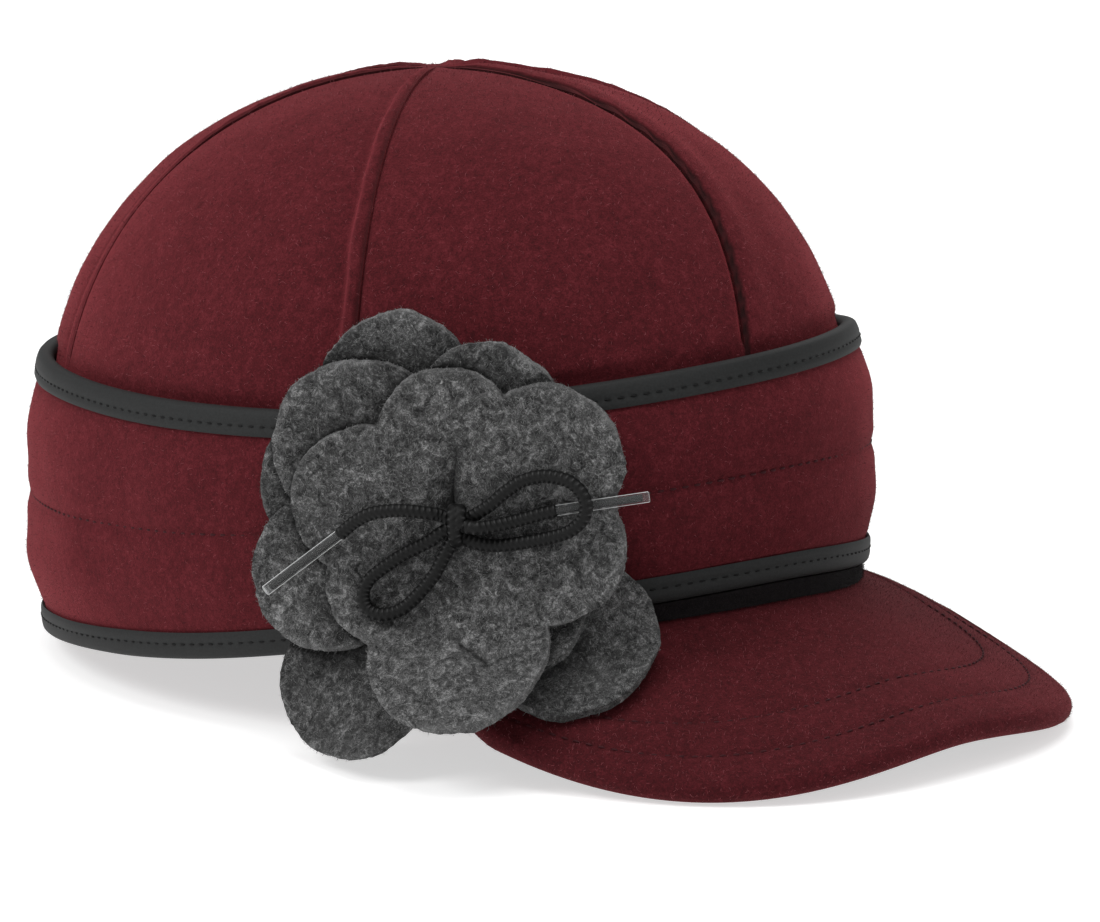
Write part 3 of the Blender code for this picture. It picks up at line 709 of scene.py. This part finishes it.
def strand_mesh(name, roots, length, width, lean, materials, shares, seed):
    """Short curved fibres as thin ribbons; each root is a place and its outward direction."""
    chance = random.Random(seed)
    points, faces, indices = [], [], []
    for place, outward in roots:
        side = Vector((chance.uniform(-1, 1), chance.uniform(-1, 1), chance.uniform(-1, 1)))
        side = (side - outward * side.dot(outward)).normalized()
        reach = length * chance.uniform(0.4, 1.2)
        slope = lean * chance.uniform(0.75, 1.12)
        tip = place + (outward * math.cos(slope) + side * math.sin(slope)) * reach
        bend = (outward * math.cos(slope * 0.4) + side * math.sin(slope * 0.4)) * reach * 0.5
        wide = outward.cross(side) * width / 2
        first = len(points)
        points.extend((place - wide, place + wide, place + bend + wide * 0.8,
                       place + bend - wide * 0.8, tip))
        faces.append((first, first + 1, first + 2, first + 3))
        faces.append((first + 3, first + 2, first + 4))
        pick = chance.random()
        index = next((k for k, share in enumerate(shares) if pick < share), len(shares) - 1)
        indices.extend((index, index))
    mesh = bpy.data.meshes.new(name)
    mesh.from_pydata(points, [], faces)
    mesh.polygons.foreach_set("material_index", indices)
    mesh.update()
    return new_piece(name, mesh, *materials)


def surface_roots(piece, count, seed, keep=None):
    """Random places on a piece's faces, with the faces' normals, spread by area."""
    chance = random.Random(seed)
    mesh = piece.data
    tones = mesh.attributes["tone"].data
    # faces deep in painted shade are left bare, so the fibres do not cover it
    faces = [face for face in mesh.polygons if (keep is None or keep(face))
             and max(tones[index].value for index in face.vertices) < 0.45]
    total = sum(face.area for face in faces)
    roots = []
    for face in faces:
        share = face.area / total * count
        amount = int(share) + (1 if chance.random() < share - int(share) else 0)
        corners = [mesh.vertices[index].co for index in face.vertices]
        for _ in range(amount):
            if len(corners) == 4:
                a, b = chance.random(), chance.random()
                place = corners[0].lerp(corners[1], a).lerp(corners[3].lerp(corners[2], a), b)
            else:
                a, b = sorted((chance.random(), chance.random()))
                place = corners[0] * a + corners[1] * (b - a) + corners[2] * (1 - b)
            roots.append((place, face.normal.copy()))
    return roots


def add_nap(name, piece, count, size, materials, shares, seeds, keep):
    """Fibres on the faces of a piece of cloth that keep lets through."""
    roots = surface_roots(piece, count, seeds[0], keep)
    return dress(strand_mesh(name, roots, *size, materials, shares, seeds[1]))


def stitch_row(name, path, lift, length, thickness, material):
    """Single stitches laid along a path of (place, outward direction) pairs."""
    shape = bmesh.new()
    for (start, outward), (end, _) in path:
        along = (end - start).normalized()
        side = outward.cross(along).normalized()
        middle = (start + end) / 2 + outward * lift
        rows = ((-0.5, 0.25), (-0.3, 0.85), (0.0, 1.0), (0.3, 0.85), (0.5, 0.25))
        rings = []
        for place, share in rows:
            sink = (1.0 - share) * thickness * 0.5
            ring = []
            for k in range(6):
                angle = math.tau * k / 6
                ring.append(shape.verts.new(
                    middle + along * place * length - outward * sink
                    + (side * math.cos(angle) + outward * math.sin(angle)) * thickness / 2 * share))
            rings.append(ring)
        for ring, following in zip(rings, rings[1:]):
            for k in range(6):
                shape.faces.new((ring[k], ring[k - 1], following[k - 1], following[k]))
        shape.faces.new(rings[0])
        shape.faces.new(rings[-1][::-1])
    bmesh.ops.recalc_face_normals(shape, faces=shape.faces)
    return shaped_piece(name, shape, material)


# The crown's six panels.

def shoulder_fade(height, least):
    """1 over the crown's shoulder, down to the least below it, where a seam is pressed flat."""
    return mix(least, 1.0, ease((height - SHOULDER_HEIGHT) / SHOULDER_BLEND))


def lapped_seam(number, from_seam, width, height, rough):
    """Ridge and tone of the welt at the panel's own front seam, where it lies over the next; the tone
    is painted shade in the crease and a painted highlight on the welt's lit edge.
    """
    if number == 1:
        # the front seam's edge is pulled in instead, and its darkness is painted shade in the groove
        return -1.5 * bell(from_seam - 0.0002, 0.0018), 1.2 * ease((0.0014 - from_seam) / 0.0006)
    ridge = ease((width - from_seam) / 0.0009) * mix(0.45, 1.0, ease(from_seam / 0.0012)) * rough
    # painted shade in the crease at the seam, and a painted highlight along the welt's lit far edge
    tone = (0.6 * bell(from_seam, 0.0007)
            - 0.75 * bell(from_seam - width + 0.0005, 0.0006) * rough)
    if number == 3:
        fade = shoulder_fade(height, 0.35)
        tone, ridge = tone * fade, ridge * fade
    return ridge - 0.25 * bell(from_seam - width - 0.0008, 0.0012), tone


def under_seam(number, from_other, point, height, rough):
    """How far the panel sinks at its other seam, where it goes under, and its tone there, which is
    painted shade.
    """
    if number == PANEL_COUNT:
        # the front seam's edge is whipped over like a rope, and its darkness there is painted shade
        # in the groove
        rope = 0.5 + 0.5 * math.sin(math.tau * (height - 0.6 * from_other) / WHIP_PITCH)
        ragged = WHIP_WIDTH + 0.0005 * rope + 0.0006 * waver(point, 0.004, 15)
        whipped = ease((ragged - from_other) / 0.0005)
        sunk = (0.9 - 0.5 * rope) * whipped - 1.1 * bell(from_other - 0.0050, 0.0055)
        return sunk, 1.1 * whipped * (1.0 - 0.3 * rope * rough)
    fade = shoulder_fade(height, 0.3) if number == 2 else 1.0
    # painted shade in the crease where the panel goes under
    return (bell(from_other, 0.0013) * 0.6 * fade,
            0.6 * bell(from_other - 0.0002, 0.0008) * rough * fade)


def panel_place(number):
    """The panel's outer surface: u across to its front seam, v from its foot to the top."""
    middle_turn = SEAM_TURN - 2 * HALF_PANEL * (number - 0.5)

    def level_at(turn, v):
        edge = band_edge(turn, 2) + BINDING_HEIGHT / 2
        if v < HIDDEN_ROWS:
            foot = band_edge(turn, 1) - CLOTH * 0.5
            height = mix(foot, edge, v / HIDDEN_ROWS)
            return crown_share(turn, height), height, 0.0
        tilt = CROWN_TILT * CROWN_HALF_LENGTH * math.cos(math.radians(turn))
        start = (edge - tilt - CROWN_SPRING) / (CROWN_TOP - CROWN_SPRING)
        first = math.asin(max(0.0, start) ** (CROWN_FULLNESS / 2))
        climb = mix(first, math.pi / 2, (v - HIDDEN_ROWS) / (1.0 - HIDDEN_ROWS))
        share = max(0.0, math.cos(climb)) ** (2 / CROWN_FULLNESS)
        level = mix(CROWN_SPRING, CROWN_TOP, math.sin(climb) ** (2 / CROWN_FULLNESS))
        stand = ease((level + tilt * share - edge) / CLOTH) * ease(share / WELT_END)
        return share, level + tilt * share, stand

    def place(u, v):
        share = max(TIP_HOLE / MEAN_RADIUS, level_at(middle_turn, v)[0])
        near = seam_turn(number - 1, level_at(seam_turn(number - 1, 1.0), v)[0])
        far = seam_turn(number, level_at(seam_turn(number, 1.0), v)[0])
        radius = share * MEAN_RADIUS
        lap = math.degrees(math.asin(min(0.5, SEAM_LAP / radius)))
        half_turn = (near - far) / 2 + min(lap, 20.0) if v < 0.999 else 0.0
        half_width = max(1e-5, math.radians(half_turn) * radius)
        # the columns crowd towards both seams
        across = math.sin(math.pi / 2 * (2 * u - 1))
        across = mix(across, math.copysign(1 - (1 - abs(across)) ** 1.3, across), 0.6)
        from_seam = (1.0 - across) * half_width
        from_other = (1.0 + across) * half_width
        turn = (near + far) / 2 + across * half_turn
        share, height, stand = level_at(turn, v)
        share = max(TIP_HOLE / MEAN_RADIUS, share)
        level = height - CROWN_TILT * CROWN_HALF_LENGTH * math.cos(math.radians(turn)) * share
        point = crown_point(turn, share, level)
        point.z = height
        width = mix(WELT_TOP_WIDTH, WELT_WIDTH, share)
        width *= 1.0 + 0.10 * waver(point, 0.009, number)
        rough = 1.0 + 0.3 * waver(point, 0.0026, number + 9)
        ridge, over_tone = lapped_seam(number, from_seam, width, height, rough)
        sunk, under_tone = under_seam(number, from_other, point, height, rough)
        puff = PANEL_PUFF * (1.0 - across ** 2) * share
        # the cloth waves softly, but not beside its seams
        soft = 0.0006 * waver(point, 0.030, number + 3) + 0.0002 * waver(point, 0.009, 5)
        soft *= min(1.0, from_seam / SEAM_CALM) * min(1.0, from_other / SEAM_CALM)
        out = WELT_RAISE * (ridge - sunk) + puff + soft
        return point + crown_normal(turn, share, level) * out * stand, over_tone + under_tone

    return place


def make_crown():
    for number in range(1, PANEL_COUNT + 1):
        name = f"crown_panel_{number}"
        place = panel_place(number)
        piece = cloth_sheet(name + "_wool", place, *PANEL_GRID, CLOTH, -1, CROWN_WOOL, weld=True)
        dress(piece, name)
        middle = sum((vertex.co for vertex in piece.data.vertices), Vector()) / len(
            piece.data.vertices)
        outside = (middle - CAP_AXIS - UP * 0.05).normalized()
        nap = add_nap(name + "_nap", piece, PANEL_FIBRES, CROWN_NAP, WOOL_FIBRES,
                      WOOL_MIX, (number, number), lambda face: face.normal.dot(outside) > -0.1)
        size = (run_length(place, (0, HIDDEN_ROWS), (1, HIDDEN_ROWS)),
                run_length(place, (0.5, 0), (0.5, 1)))


# The ear band.

def make_ear_band():
    tuck = BINDING_HEIGHT / 2 - 0.0016

    def place(u, v):
        turn = 180.0 - 360.0 * (1.0 - u)
        if not BOUND_ROWS <= v <= 1 - BOUND_ROWS:
            share = 0 if v < BOUND_ROWS else 1
            point, _, along = band_frame(turn, share)
            step = tuck * (v / BOUND_ROWS - 1.0 if share == 0 else 1.0 - (1.0 - v) / BOUND_ROWS)
            point = point + along * step
            point.z = max(point.z, TAPE + 2 * GAP)
            return point
        share = (v - BOUND_ROWS) / (1 - 2 * BOUND_ROWS)
        point = band_point(turn, share)
        middle = (share - 0.5) * BAND_HEIGHT
        pinch = -0.0005 * bell(middle, 0.0016) + 0.0002 * bell(abs(middle) - 0.004, 0.0025)
        inside = 4 * share * (1 - share)
        soft = (0.0007 * waver(point, 0.028, 2) + 0.0003 * waver(point, 0.011, 4)) * inside
        near_edge = min(share, 1 - share) * BAND_HEIGHT
        press = -0.0004 * bell(near_edge - BINDING_HEIGHT / 2, 0.0012)
        # its tone is a faint painted shade along the pinch in the band's middle
        return point + plan_normal(turn) * (pinch + soft + press), 0.1 * bell(middle, 0.0009)

    piece = cloth_sheet("ear_band_wool", place, *BAND_GRID, BAND_CLOTH, -1, CROWN_WOOL, weld=True)
    dress(piece, "ear_band")
    outside = CAP_AXIS + UP * 0.05
    nap = add_nap("ear_band_nap", piece, BAND_FIBRES, BAND_NAP, WOOL_FIBRES, WOOL_MIX,
                  (21, 22), lambda face: face.normal.dot(face.center - outside) > 0.0)
    path = stitch_path(lambda turn: (band_point(turn, 0.5), plan_normal(turn)), *ALL_ROUND)
    thread = stitch_row("ear_band_stitches", path, -0.0004, STITCH_LENGTH, STITCH_WIDTH,
                        WOOL_THREAD)
    dress(thread)
    tallest = max(run_length(place, (k / 12, 0), (k / 12, 1)) for k in range(12))
    size = (run_length(place, (0, 0.5), (1, 0.5)), tallest)


# A row's first and last place, and the step that measures its run, in degrees
ALL_ROUND = (-180.0, 180.0, 0.5)


def stitch_path(at_place, first, last, step):
    """Start and end of each stitch along a line over the cap, with the outward direction."""
    path = []
    place = first
    while place < last:
        start, outward = at_place(place)
        nearby, _ = at_place(place + step)
        per_metre = step / max(1e-6, (nearby - start).length)
        end, end_outward = at_place(place + per_metre * STITCH_LENGTH)
        path.append(((CAP_AXIS + start, outward), (CAP_AXIS + end, end_outward)))
        place += per_metre * STITCH_PITCH
    return path


# The bindings on the band's two edges.

def binding_profile(fold):
    """The folded tape's middle line, as steps outward and along from the band's edge line."""
    leg = GAP + TAPE / 2
    half = BAND_CLOTH / 2 + leg
    edge = BINDING_HEIGHT / 2 - TAPE / 2
    rows = [(leg - 0.00035, -fold * BINDING_HEIGHT / 2), (leg, -fold * (BINDING_HEIGHT / 2 - 0.0006))]
    for share in (0.15, 0.3, 0.45, 0.6, 0.75, 0.9):
        bulge = 0.00018 * math.sin(math.pi * share)
        rows.append((leg + bulge, fold * mix(-BINDING_HEIGHT / 2 + 0.0006, edge - half * 0.8, share)))
    for k in range(1, 10):
        angle = math.pi * k / 10
        rows.append((math.cos(angle) * half - half + leg,
                     fold * (edge - half * 0.8 + half * 0.8 * math.sin(angle))))
    rows.append((-leg - BAND_CLOTH, fold * (edge - half)))
    rows.append((-leg - BAND_CLOTH, -fold * (BINDING_HEIGHT / 2 - GAP)))
    return rows


def make_binding(node, share, fold, stitch_line):
    section = binding_profile(fold)

    def place(u, v):
        turn = 180.0 - 360.0 * (1.0 - u)
        row = round(v * (len(section) - 1))
        out, up = section[row if fold > 0 else len(section) - 1 - row]
        point, normal, along = band_frame(turn, share)
        if out > 0:
            out -= 0.00028 * bell(up - stitch_line, 0.0006)
            out += 0.00012 * waver(point, 0.012, 6)
        point = point + normal * out + along * up
        if fold < 0 and up < -BINDING_HEIGHT / 2 + 0.001:
            point.z = max(point.z, TAPE / 2)
        return point

    piece = cloth_sheet(node + "_tape", place, BINDING_COLUMNS, len(section) - 1, TAPE, 0,
                        BINDING_TAPE, weld=True)
    dress(piece, node)

    def at_turn(turn):
        point, normal, along = band_frame(turn, share)
        return point + normal * (GAP + TAPE) + along * stitch_line, normal

    path = stitch_path(at_turn, *ALL_ROUND)
    thread = stitch_row(node + "_stitches", path, 0.00002, STITCH_LENGTH, TAPE_STITCH_WIDTH,
                        TAPE_THREAD)
    dress(thread)


# The strip above the peak, and the peak.

def make_base_tape():
    def place(u, v):
        turn = mix(-PEAK_TURN, PEAK_TURN, u)
        point, normal, along = band_frame(turn, 0)
        wide = base_tape_height(min(abs(turn), BASE_TAPE_TURN))
        drop = BINDING_HEIGHT / 2 + GAP + (wide + 0.0004) * (1.0 - v)
        rough = 0.0002 * waver(point, 0.003, 8)
        return point - normal * (0.2 * CLOTH - rough) - along * drop

    piece = cloth_sheet("base_tape_brushed", place, *STRIP_GRID, STRIP_THICKNESS, -1, VISOR_CLOTH)
    dress(piece, "base_tape")
    add_nap("base_tape_nap", piece, STRIP_FIBRES, STRIP_NAP, DARK_FIBRES, (1.0,),
            (31, 32), lambda face: face.normal.y < 0.2)


def peak_frame(u, v):
    """Point of the peak's top, its outward direction along the sheet, and its normal."""
    point = peak_point(u, v)
    across = peak_point(min(1.0, u + 0.004), v) - peak_point(max(0.0, u - 0.004), v)
    outward = (peak_point(u, v + 0.01) - peak_point(u, v - 0.01)).normalized()
    normal = across.cross(outward).normalized()
    if normal.z < 0:
        normal.negate()
    return point, outward, normal


def peak_span(u):
    return (peak_point(u, 1.0) - peak_point(u, 0.0)).length


def make_peak():
    def top_place(u, v):
        v = 1.0 - v
        span = peak_span(u)
        rim = min(PEAK_RIM, span * 0.2)
        if v <= PEAK_FLAT_ROWS:
            share = v / PEAK_FLAT_ROWS * (1.0 - rim / span)
            point, _, normal = peak_frame(u, share)
            inward = (1.0 - share) * span
            groove = sum(bell(inward - line, 0.0011) for line in PEAK_STITCH_LINES)
            swell = bell(inward - sum(PEAK_STITCH_LINES) / 2, 0.004) * 0.3
            soft = 0.0006 * waver(point, 0.034, 12) * min(1.0, share * 4)
            # the grooves' tone is painted shade
            return point + normal * (soft - 0.00035 * groove + 0.0004 * swell), 0.12 * groove
        # past the flat top the cloth turns round the rim, then runs back under it
        share = (v - PEAK_FLAT_ROWS) / (1.0 - PEAK_FLAT_ROWS)
        point, outward, normal = peak_frame(u, 1.0 - rim / span)
        angle = math.pi / 2 - min(1.0, share / PEAK_TURNED_SHARE) * math.pi
        tail = max(0.0, share - PEAK_TURNED_SHARE) / (1.0 - PEAK_TURNED_SHARE)
        return (point + normal * rim * (math.sin(angle) - 1.0) + outward * rim * math.cos(angle)
                - outward * PEAK_HEM * tail + normal * 0.0004 * tail)

    def under_place(u, v):
        u = min(0.982, max(0.018, u))
        corner = ease((abs(2.0 * u - 1.0) - 0.75) / 0.2)
        share = mix(PEAK_UNDER_SHARE, 0.66, corner) * (1.0 - v)
        point, _, normal = peak_frame(u, share)
        return point - UP * (PEAK_TOP_THICKNESS + 1.5 * GAP) / max(0.35, abs(normal.z))

    top = cloth_sheet("visor_top_wool", top_place, *PEAK_TOP_GRID, PEAK_WOOL, -1, SHADED_PEAK_WOOL)
    dress(top, "visor_top")
    under = cloth_sheet("visor_under_cloth", under_place, *PEAK_UNDER_GRID, PEAK_UNDER_THICKNESS,
                        -1, VISOR_CLOTH)
    dress(under, "visor_under")
    add_nap("visor_top_nap", top, PEAK_FIBRES, BAND_NAP, WOOL_FIBRES, WOOL_MIX,
            (41, 42), lambda face: face.normal.z > -0.7)
    for row, line in enumerate(PEAK_STITCH_LINES):
        def on_line(u):
            point, _, normal = peak_frame(u, 1.0 - line / peak_span(u))
            return point, normal

        path = stitch_path(on_line, 0.05, 0.95, 0.002)
        thread = stitch_row(f"visor_stitches_{row + 1}", path, -0.00025, STITCH_LENGTH,
                            STITCH_WIDTH, WOOL_THREAD)
        dress(thread)


# The flower's three layers of felt.

def petal_outline(petals, count):
    """Direction and reach of points spread evenly along the layer's outline."""
    fine = [(k / 4, petal_reach(petals, k / 4)) for k in range(1441)]
    lengths = [0.0]
    for (start, reach), (end, next_reach) in zip(fine, fine[1:]):
        around = math.radians(end - start) * (reach + next_reach) / 2
        lengths.append(lengths[-1] + math.hypot(around, next_reach - reach))
    return [[mix(a, b, share) for a, b in zip(fine[row], fine[row + 1])]
            for row, share in even_spots(lengths, count)]


def flower_relief(level, x, rise, radius, inward):
    """Small shapes of a felt layer beyond its plain form, and its tone: painted shade, and random
    spots along its rim.
    """
    spot = Vector((x, rise, level * 0.05))
    relief = -0.0003 - 0.0005 * waver(spot, 0.014, level + 1)
    relief += 0.0002 * waver(spot, 0.004, level + 4)
    tone = -0.30 * bell(inward, 0.0008) * (0.5 + waver(spot, 0.006, level + 5))
    if level < 2:
        # where the layer above leaves off, its edge keeps the light from this one
        direction = math.degrees(math.atan2(rise, x)) % 360.0
        past = radius - petal_reach(LAYERS[level + 1][1], direction)
        side = mix(0.45, 1.0, ease((math.cos(math.radians(direction - 165.0)) + 0.35) / 0.9))
        tone += side * (0.95 * bell(past - 0.0002, 0.0010) + 0.30 * bell(past - 0.0012, 0.0030))
    # painted shade: the back layer darkens towards its lowest lobes
    if level == 0:
        tone += 0.34 * ease((-rise - 0.020) / 0.014)
    if level > 0:
        relief += 0.0018 * ease((radius - 0.018) / 0.016) * (0.30 + waver(spot, 0.015, level + 2))
    if level == 2:
        fold = bell(x + 0.0008 + 0.0008 * math.sin(rise / 0.0045), 0.0017)
        fold *= ease((rise - 0.003) / 0.003) * ease((0.023 - rise) / 0.010)
        cut = bell(abs((rise + 0.0300) + 0.66 * (x - 0.0045)) / 1.2, 0.0009)
        cut *= ease((0.0050 - abs(x - 0.0045)) / 0.0015)
        dip = bell(x + 0.0008, 0.0045) * ease((0.024 - rise) / 0.014) * ease((rise + 0.002) / 0.006)
        relief -= 0.0016 * fold + 0.0008 * cut + 0.0012 * dip
        # the tone is painted shade in the fold, the cut and the dip, and a painted shadow round the
        # knot
        knot_shadow = bell(math.hypot(x, rise), 0.0065)
        tone += 1.3 * fold + 1.0 * cut + 0.15 * dip + 0.4 * knot_shadow
    curl = 0.0018 * ease((0.009 - inward) / 0.009) * (0.25 + waver(spot, 0.013, level + 7))
    return relief + curl, tone


def make_flower():
    for level, (name, petals, _, _) in enumerate(LAYERS):
        outline = petal_outline(petals, PETAL_GRID[0])

        def place(u, v):
            direction, reach = outline[round(u * PETAL_GRID[0])]
            turn = math.radians(direction)
            spot = Vector((math.cos(turn), math.sin(turn), 0.0)) * reach
            reach += 0.0009 * waver(spot, 0.008, level) + 0.00035 * waver(spot, 0.0014, level + 2)
            radius = mix(FLOWER_HOLE, reach, v ** 0.85)
            x = radius * math.cos(math.radians(direction))
            rise = radius * math.sin(math.radians(direction))
            relief, tone = flower_relief(level, x, rise, radius, reach - radius)
            return flower_point(x, rise, layer_depth(level, x, rise) + relief), tone

        piece = cloth_sheet(name + "_felt", place, *PETAL_GRID, FELT, -1, GREY_FELT, weld=True)
        dress(piece, name)
        edge = [(reach * math.cos(math.radians(direction)), reach * math.sin(math.radians(direction)))
                for direction, reach in outline]
        plan = sum(x * next_y - next_x * y for (x, y), (next_x, next_y) in zip(edge, edge[1:])) / 2
        # laid flat, the layer is larger than its plan by as much as its lobes hang and curl
        hair = add_nap(name + "_hair", piece, LAYER_FIBRES, FELT_HAIR, FELT_FIBRES,
                       FELT_MIX, (50 + level, 60 + level),
                       lambda face: face.normal.dot(FLOWER_OUT) > -0.1)


# The cord's bow and its clear tips.

def braid_tube(name, points, radius, material, facing, slim_end=0.0):
    """A round braid along a route, a valley of its strands facing out; slim_end is in a tip."""
    sides = 20
    pitch = 0.00125
    fine = smooth_route(points, 0.00016)
    total = path_length(fine)
    slim_radius = AGLET_DIAMETER / 2 - 0.00025
    shape = bmesh.new()
    tone = shape.verts.layers.float.new("tone")
    rings = []
    distance = 0.0
    for index, point in enumerate(fine):
        ahead = fine[min(len(fine) - 1, index + 1)] - fine[max(0, index - 1)]
        ahead.normalize()
        frame_side = (facing - ahead * facing.dot(ahead)).normalized()
        other = ahead.cross(frame_side)
        if index:
            distance += (point - fine[index - 1]).length
        ring = []
        for k in range(sides):
            angle = math.tau * k / sides
            # two columns of ribs on each face, each rib a strand that dives under the next
            column = math.sin(2 * angle)
            phase = math.tau * distance / pitch + (math.pi if column > 0 else 0.0)
            over = abs(column) ** 0.7 * (0.5 + 0.5 * math.sin(phase + 1.1 * abs(column)))
            round_radius = mix(radius, slim_radius, ease((distance - total + slim_end) / 0.0008)
                               if slim_end else 0.0)
            if round_radius < radius * 0.8:
                over = 0.15
            out = round_radius * (0.84 + 0.16 * over)
            knob = shape.verts.new(
                point + (frame_side * math.cos(angle) + other * math.sin(angle)) * out)
            # the tone is painted shade in the valleys between strands and a painted highlight on the
            # raised ones
            knob[tone] = 0.8 - 1.1 * over
            ring.append(knob)
        rings.append(ring)
    for ring, following in zip(rings, rings[1:]):
        for k in range(sides):
            shape.faces.new((ring[k - 1], ring[k], following[k], following[k - 1]))
    shape.faces.new(rings[0][::-1])
    shape.faces.new(rings[-1])
    bmesh.ops.recalc_face_normals(shape, faces=shape.faces)
    return shaped_piece(name, shape, material)


def round_bar(name, start, end, radius, material):
    """A round bar between two points, its two edges broken."""
    heading = end - start
    shape = bmesh.new()
    bmesh.ops.create_cone(shape, cap_ends=True, segments=36, radius1=radius, radius2=radius,
                          depth=heading.length)
    rims = [edge for edge in shape.edges if abs(edge.verts[0].co.z - edge.verts[1].co.z) < 1e-6]
    bmesh.ops.bevel(shape, geom=rims, offset=radius * 0.12, segments=2, affect="EDGES")
    bmesh.ops.transform(shape, verts=shape.verts, matrix=Matrix.Translation((start + end) / 2)
                        @ heading.to_track_quat("Z", "Y").to_matrix().to_4x4())
    piece = shaped_piece(name, shape, material)
    piece.data.set_sharp_from_angle(angle=math.radians(50))
    return piece


def make_bow():
    knot_depth = layer_depth(2, 0.0, 0.0) + FELT + GAP + KNOT_THICKNESS * 0.5
    knot_middle = CAP_AXIS + flower_point(0.0, 0.0, knot_depth)
    wrap = []
    for k in range(31):
        angle = math.tau * k / 30 * 1.35 - 0.6
        slide = mix(-0.0006, 0.0010, k / 30)
        wrap.append(knot_middle + FLOWER_RIGHT * slide
                    + FLOWER_UP * (math.cos(angle) * (KNOT_HEIGHT / 2 - CORD_DIAMETER * 0.42))
                    + FLOWER_OUT * (math.sin(angle) * (KNOT_THICKNESS / 2 - CORD_DIAMETER * 0.42)))
    knot = braid_tube("bow_knot_wrap", wrap, CORD_DIAMETER * 0.50, CORD_BRAID, FLOWER_RIGHT)
    dress(knot, "bow_knot")

    for node, route in (("bow_loop_left", LEFT_LOOP_ROUTE), ("bow_loop_right", RIGHT_LOOP_ROUTE)):
        ends = ((-0.0004, 0.0002, 0.0008), (-0.0004, -0.0022, 0.0006))
        if node == "bow_loop_right":
            ends = ((0.0004, 0.0006, 0.0008), (0.0002, -0.0018, 0.0006))
        points = [CAP_AXIS + bow_point(*row) for row in (ends[0], *route, ends[1])]
        loop = braid_tube(node + "_braid", points, CORD_DIAMETER / 2, CORD_BRAID, FLOWER_OUT)
        dress(loop, node)
        path = smooth_route(points, 0.001)
        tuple(points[0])
        path_length(path)

    for side, route, tip, length in (
            ("left", LEFT_TAIL_ROUTE, LEFT_AGLET_TIP, AGLET_LEFT_LENGTH),
            ("right", RIGHT_TAIL_ROUTE, RIGHT_AGLET_TIP, AGLET_RIGHT_LENGTH)):
        points = [CAP_AXIS + bow_point(*row) for row in ((0.0, 0.0006, 0.0010), *route)]
        aim = (CAP_AXIS + bow_point(*tip) - points[-1]).normalized()
        end = points[-1] + aim * (GAP + length)
        film = round_bar(f"aglet_{side}_film", points[-1] - aim * 0.0006, end,
                         AGLET_DIAMETER / 2, AGLET_FILM)
        dress(film, f"aglet_{side}")
        squeezed = length - 0.0012
        points.extend([points[-1] + aim * squeezed * share for share in (0.1, 0.4, 0.7, 1.0)])
        braid = braid_tube(f"bow_tail_{side}_braid", points, CORD_DIAMETER / 2, CORD_BRAID,
                           FLOWER_OUT, slim_end=squeezed)
        dress(braid, f"bow_tail_{side}")
        path = smooth_route(points, 0.001)
        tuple(points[0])
        path_length(path)


# Camera, light and floor.

VIEW_TURN = math.radians(-45.0)
VIEW_RISE = math.radians(13.5)
VIEW_DISTANCE = 1.6
PIXELS_PER_METRE = 4240.0
PHOTO_WIDTH = 1100
PHOTO_HEIGHT = 922
AXIS_FOOT_PIXEL = (445, 655)
SENSOR_WIDTH = 36.0


def set_camera():
    """The photograph's view, set by the pixel where the cap's axis meets the floor."""
    focal = PIXELS_PER_METRE * VIEW_DISTANCE
    across = (PHOTO_WIDTH / 2 - AXIS_FOOT_PIXEL[0]) / focal
    down = (AXIS_FOOT_PIXEL[1] - PHOTO_HEIGHT / 2) / focal
    back = Vector((math.sin(VIEW_TURN) * math.cos(VIEW_RISE),
                   -math.cos(VIEW_TURN) * math.cos(VIEW_RISE), math.sin(VIEW_RISE)))
    right = Vector((math.cos(VIEW_TURN), math.sin(VIEW_TURN), 0.0))
    forward = (-back + right * across + back.cross(right) * down).normalized()
    side = forward.cross(UP).normalized()
    data = bpy.data.cameras.new("photo_view")
    camera = bpy.data.objects.new("photo_view", data)
    bpy.context.scene.collection.objects.link(camera)
    view = Matrix((side, side.cross(forward), -forward)).transposed().to_4x4()
    view.translation = CAP_AXIS + back * VIEW_DISTANCE
    camera.matrix_world = view
    data.sensor_width = SENSOR_WIDTH
    data.lens = SENSOR_WIDTH * focal * math.sqrt(1 + across ** 2 + down ** 2) / PHOTO_WIDTH
    data.clip_start = 0.05
    bpy.context.scene.camera = camera


def add_light(name, place, aim, size, power):
    data = bpy.data.lights.new(name, "AREA")
    data.shape = "DISK"
    data.size = size
    data.energy = power
    lamp = bpy.data.objects.new(name, data)
    bpy.context.scene.collection.objects.link(lamp)
    lamp.location = place
    lamp.rotation_mode = "QUATERNION"
    lamp.rotation_quaternion = (Vector(aim) - Vector(place)).to_track_quat("-Z", "Y")


def set_stage():
    shape = bmesh.new()
    bmesh.ops.create_grid(shape, x_segments=2, y_segments=2, size=6.0)
    material, _, shader = new_finish("pale_floor", Roughness=0.9)
    shader.inputs["Base Color"].default_value = linear("#d4d4d4")
    shader.inputs["Emission Color"].default_value = (1.0, 1.0, 1.0, 1.0)
    shader.inputs["Emission Strength"].default_value = 0.58
    shaped_piece("floor", shape, material)
    world = bpy.data.worlds.new("studio")
    world.use_nodes = True
    world.node_tree.nodes["Background"].inputs["Color"].default_value = (1.0, 1.0, 1.0, 1.0)
    world.node_tree.nodes["Background"].inputs["Strength"].default_value = 0.45
    bpy.context.scene.world = world
    bpy.context.scene.view_settings.view_transform = "Standard"
    middle = (0.0, 0.0, 0.06)
    add_light("left_back", (-1.7, 0.5, 1.7), middle, 1.2, 27.0)
    add_light("top", (-0.3, -0.3, 2.3), middle, 1.6, 22.0)
    add_light("right_back", (1.5, 0.8, 1.3), middle, 1.2, 7.0)


set_camera()
set_stage()
make_bow()
make_crown()
make_ear_band()
make_binding("upper_binding", 1, 1, -BINDING_HEIGHT * 0.17)
make_binding("lower_binding", 0, -1, BINDING_HEIGHT * 0.10)
make_base_tape()
make_peak()
make_flower()
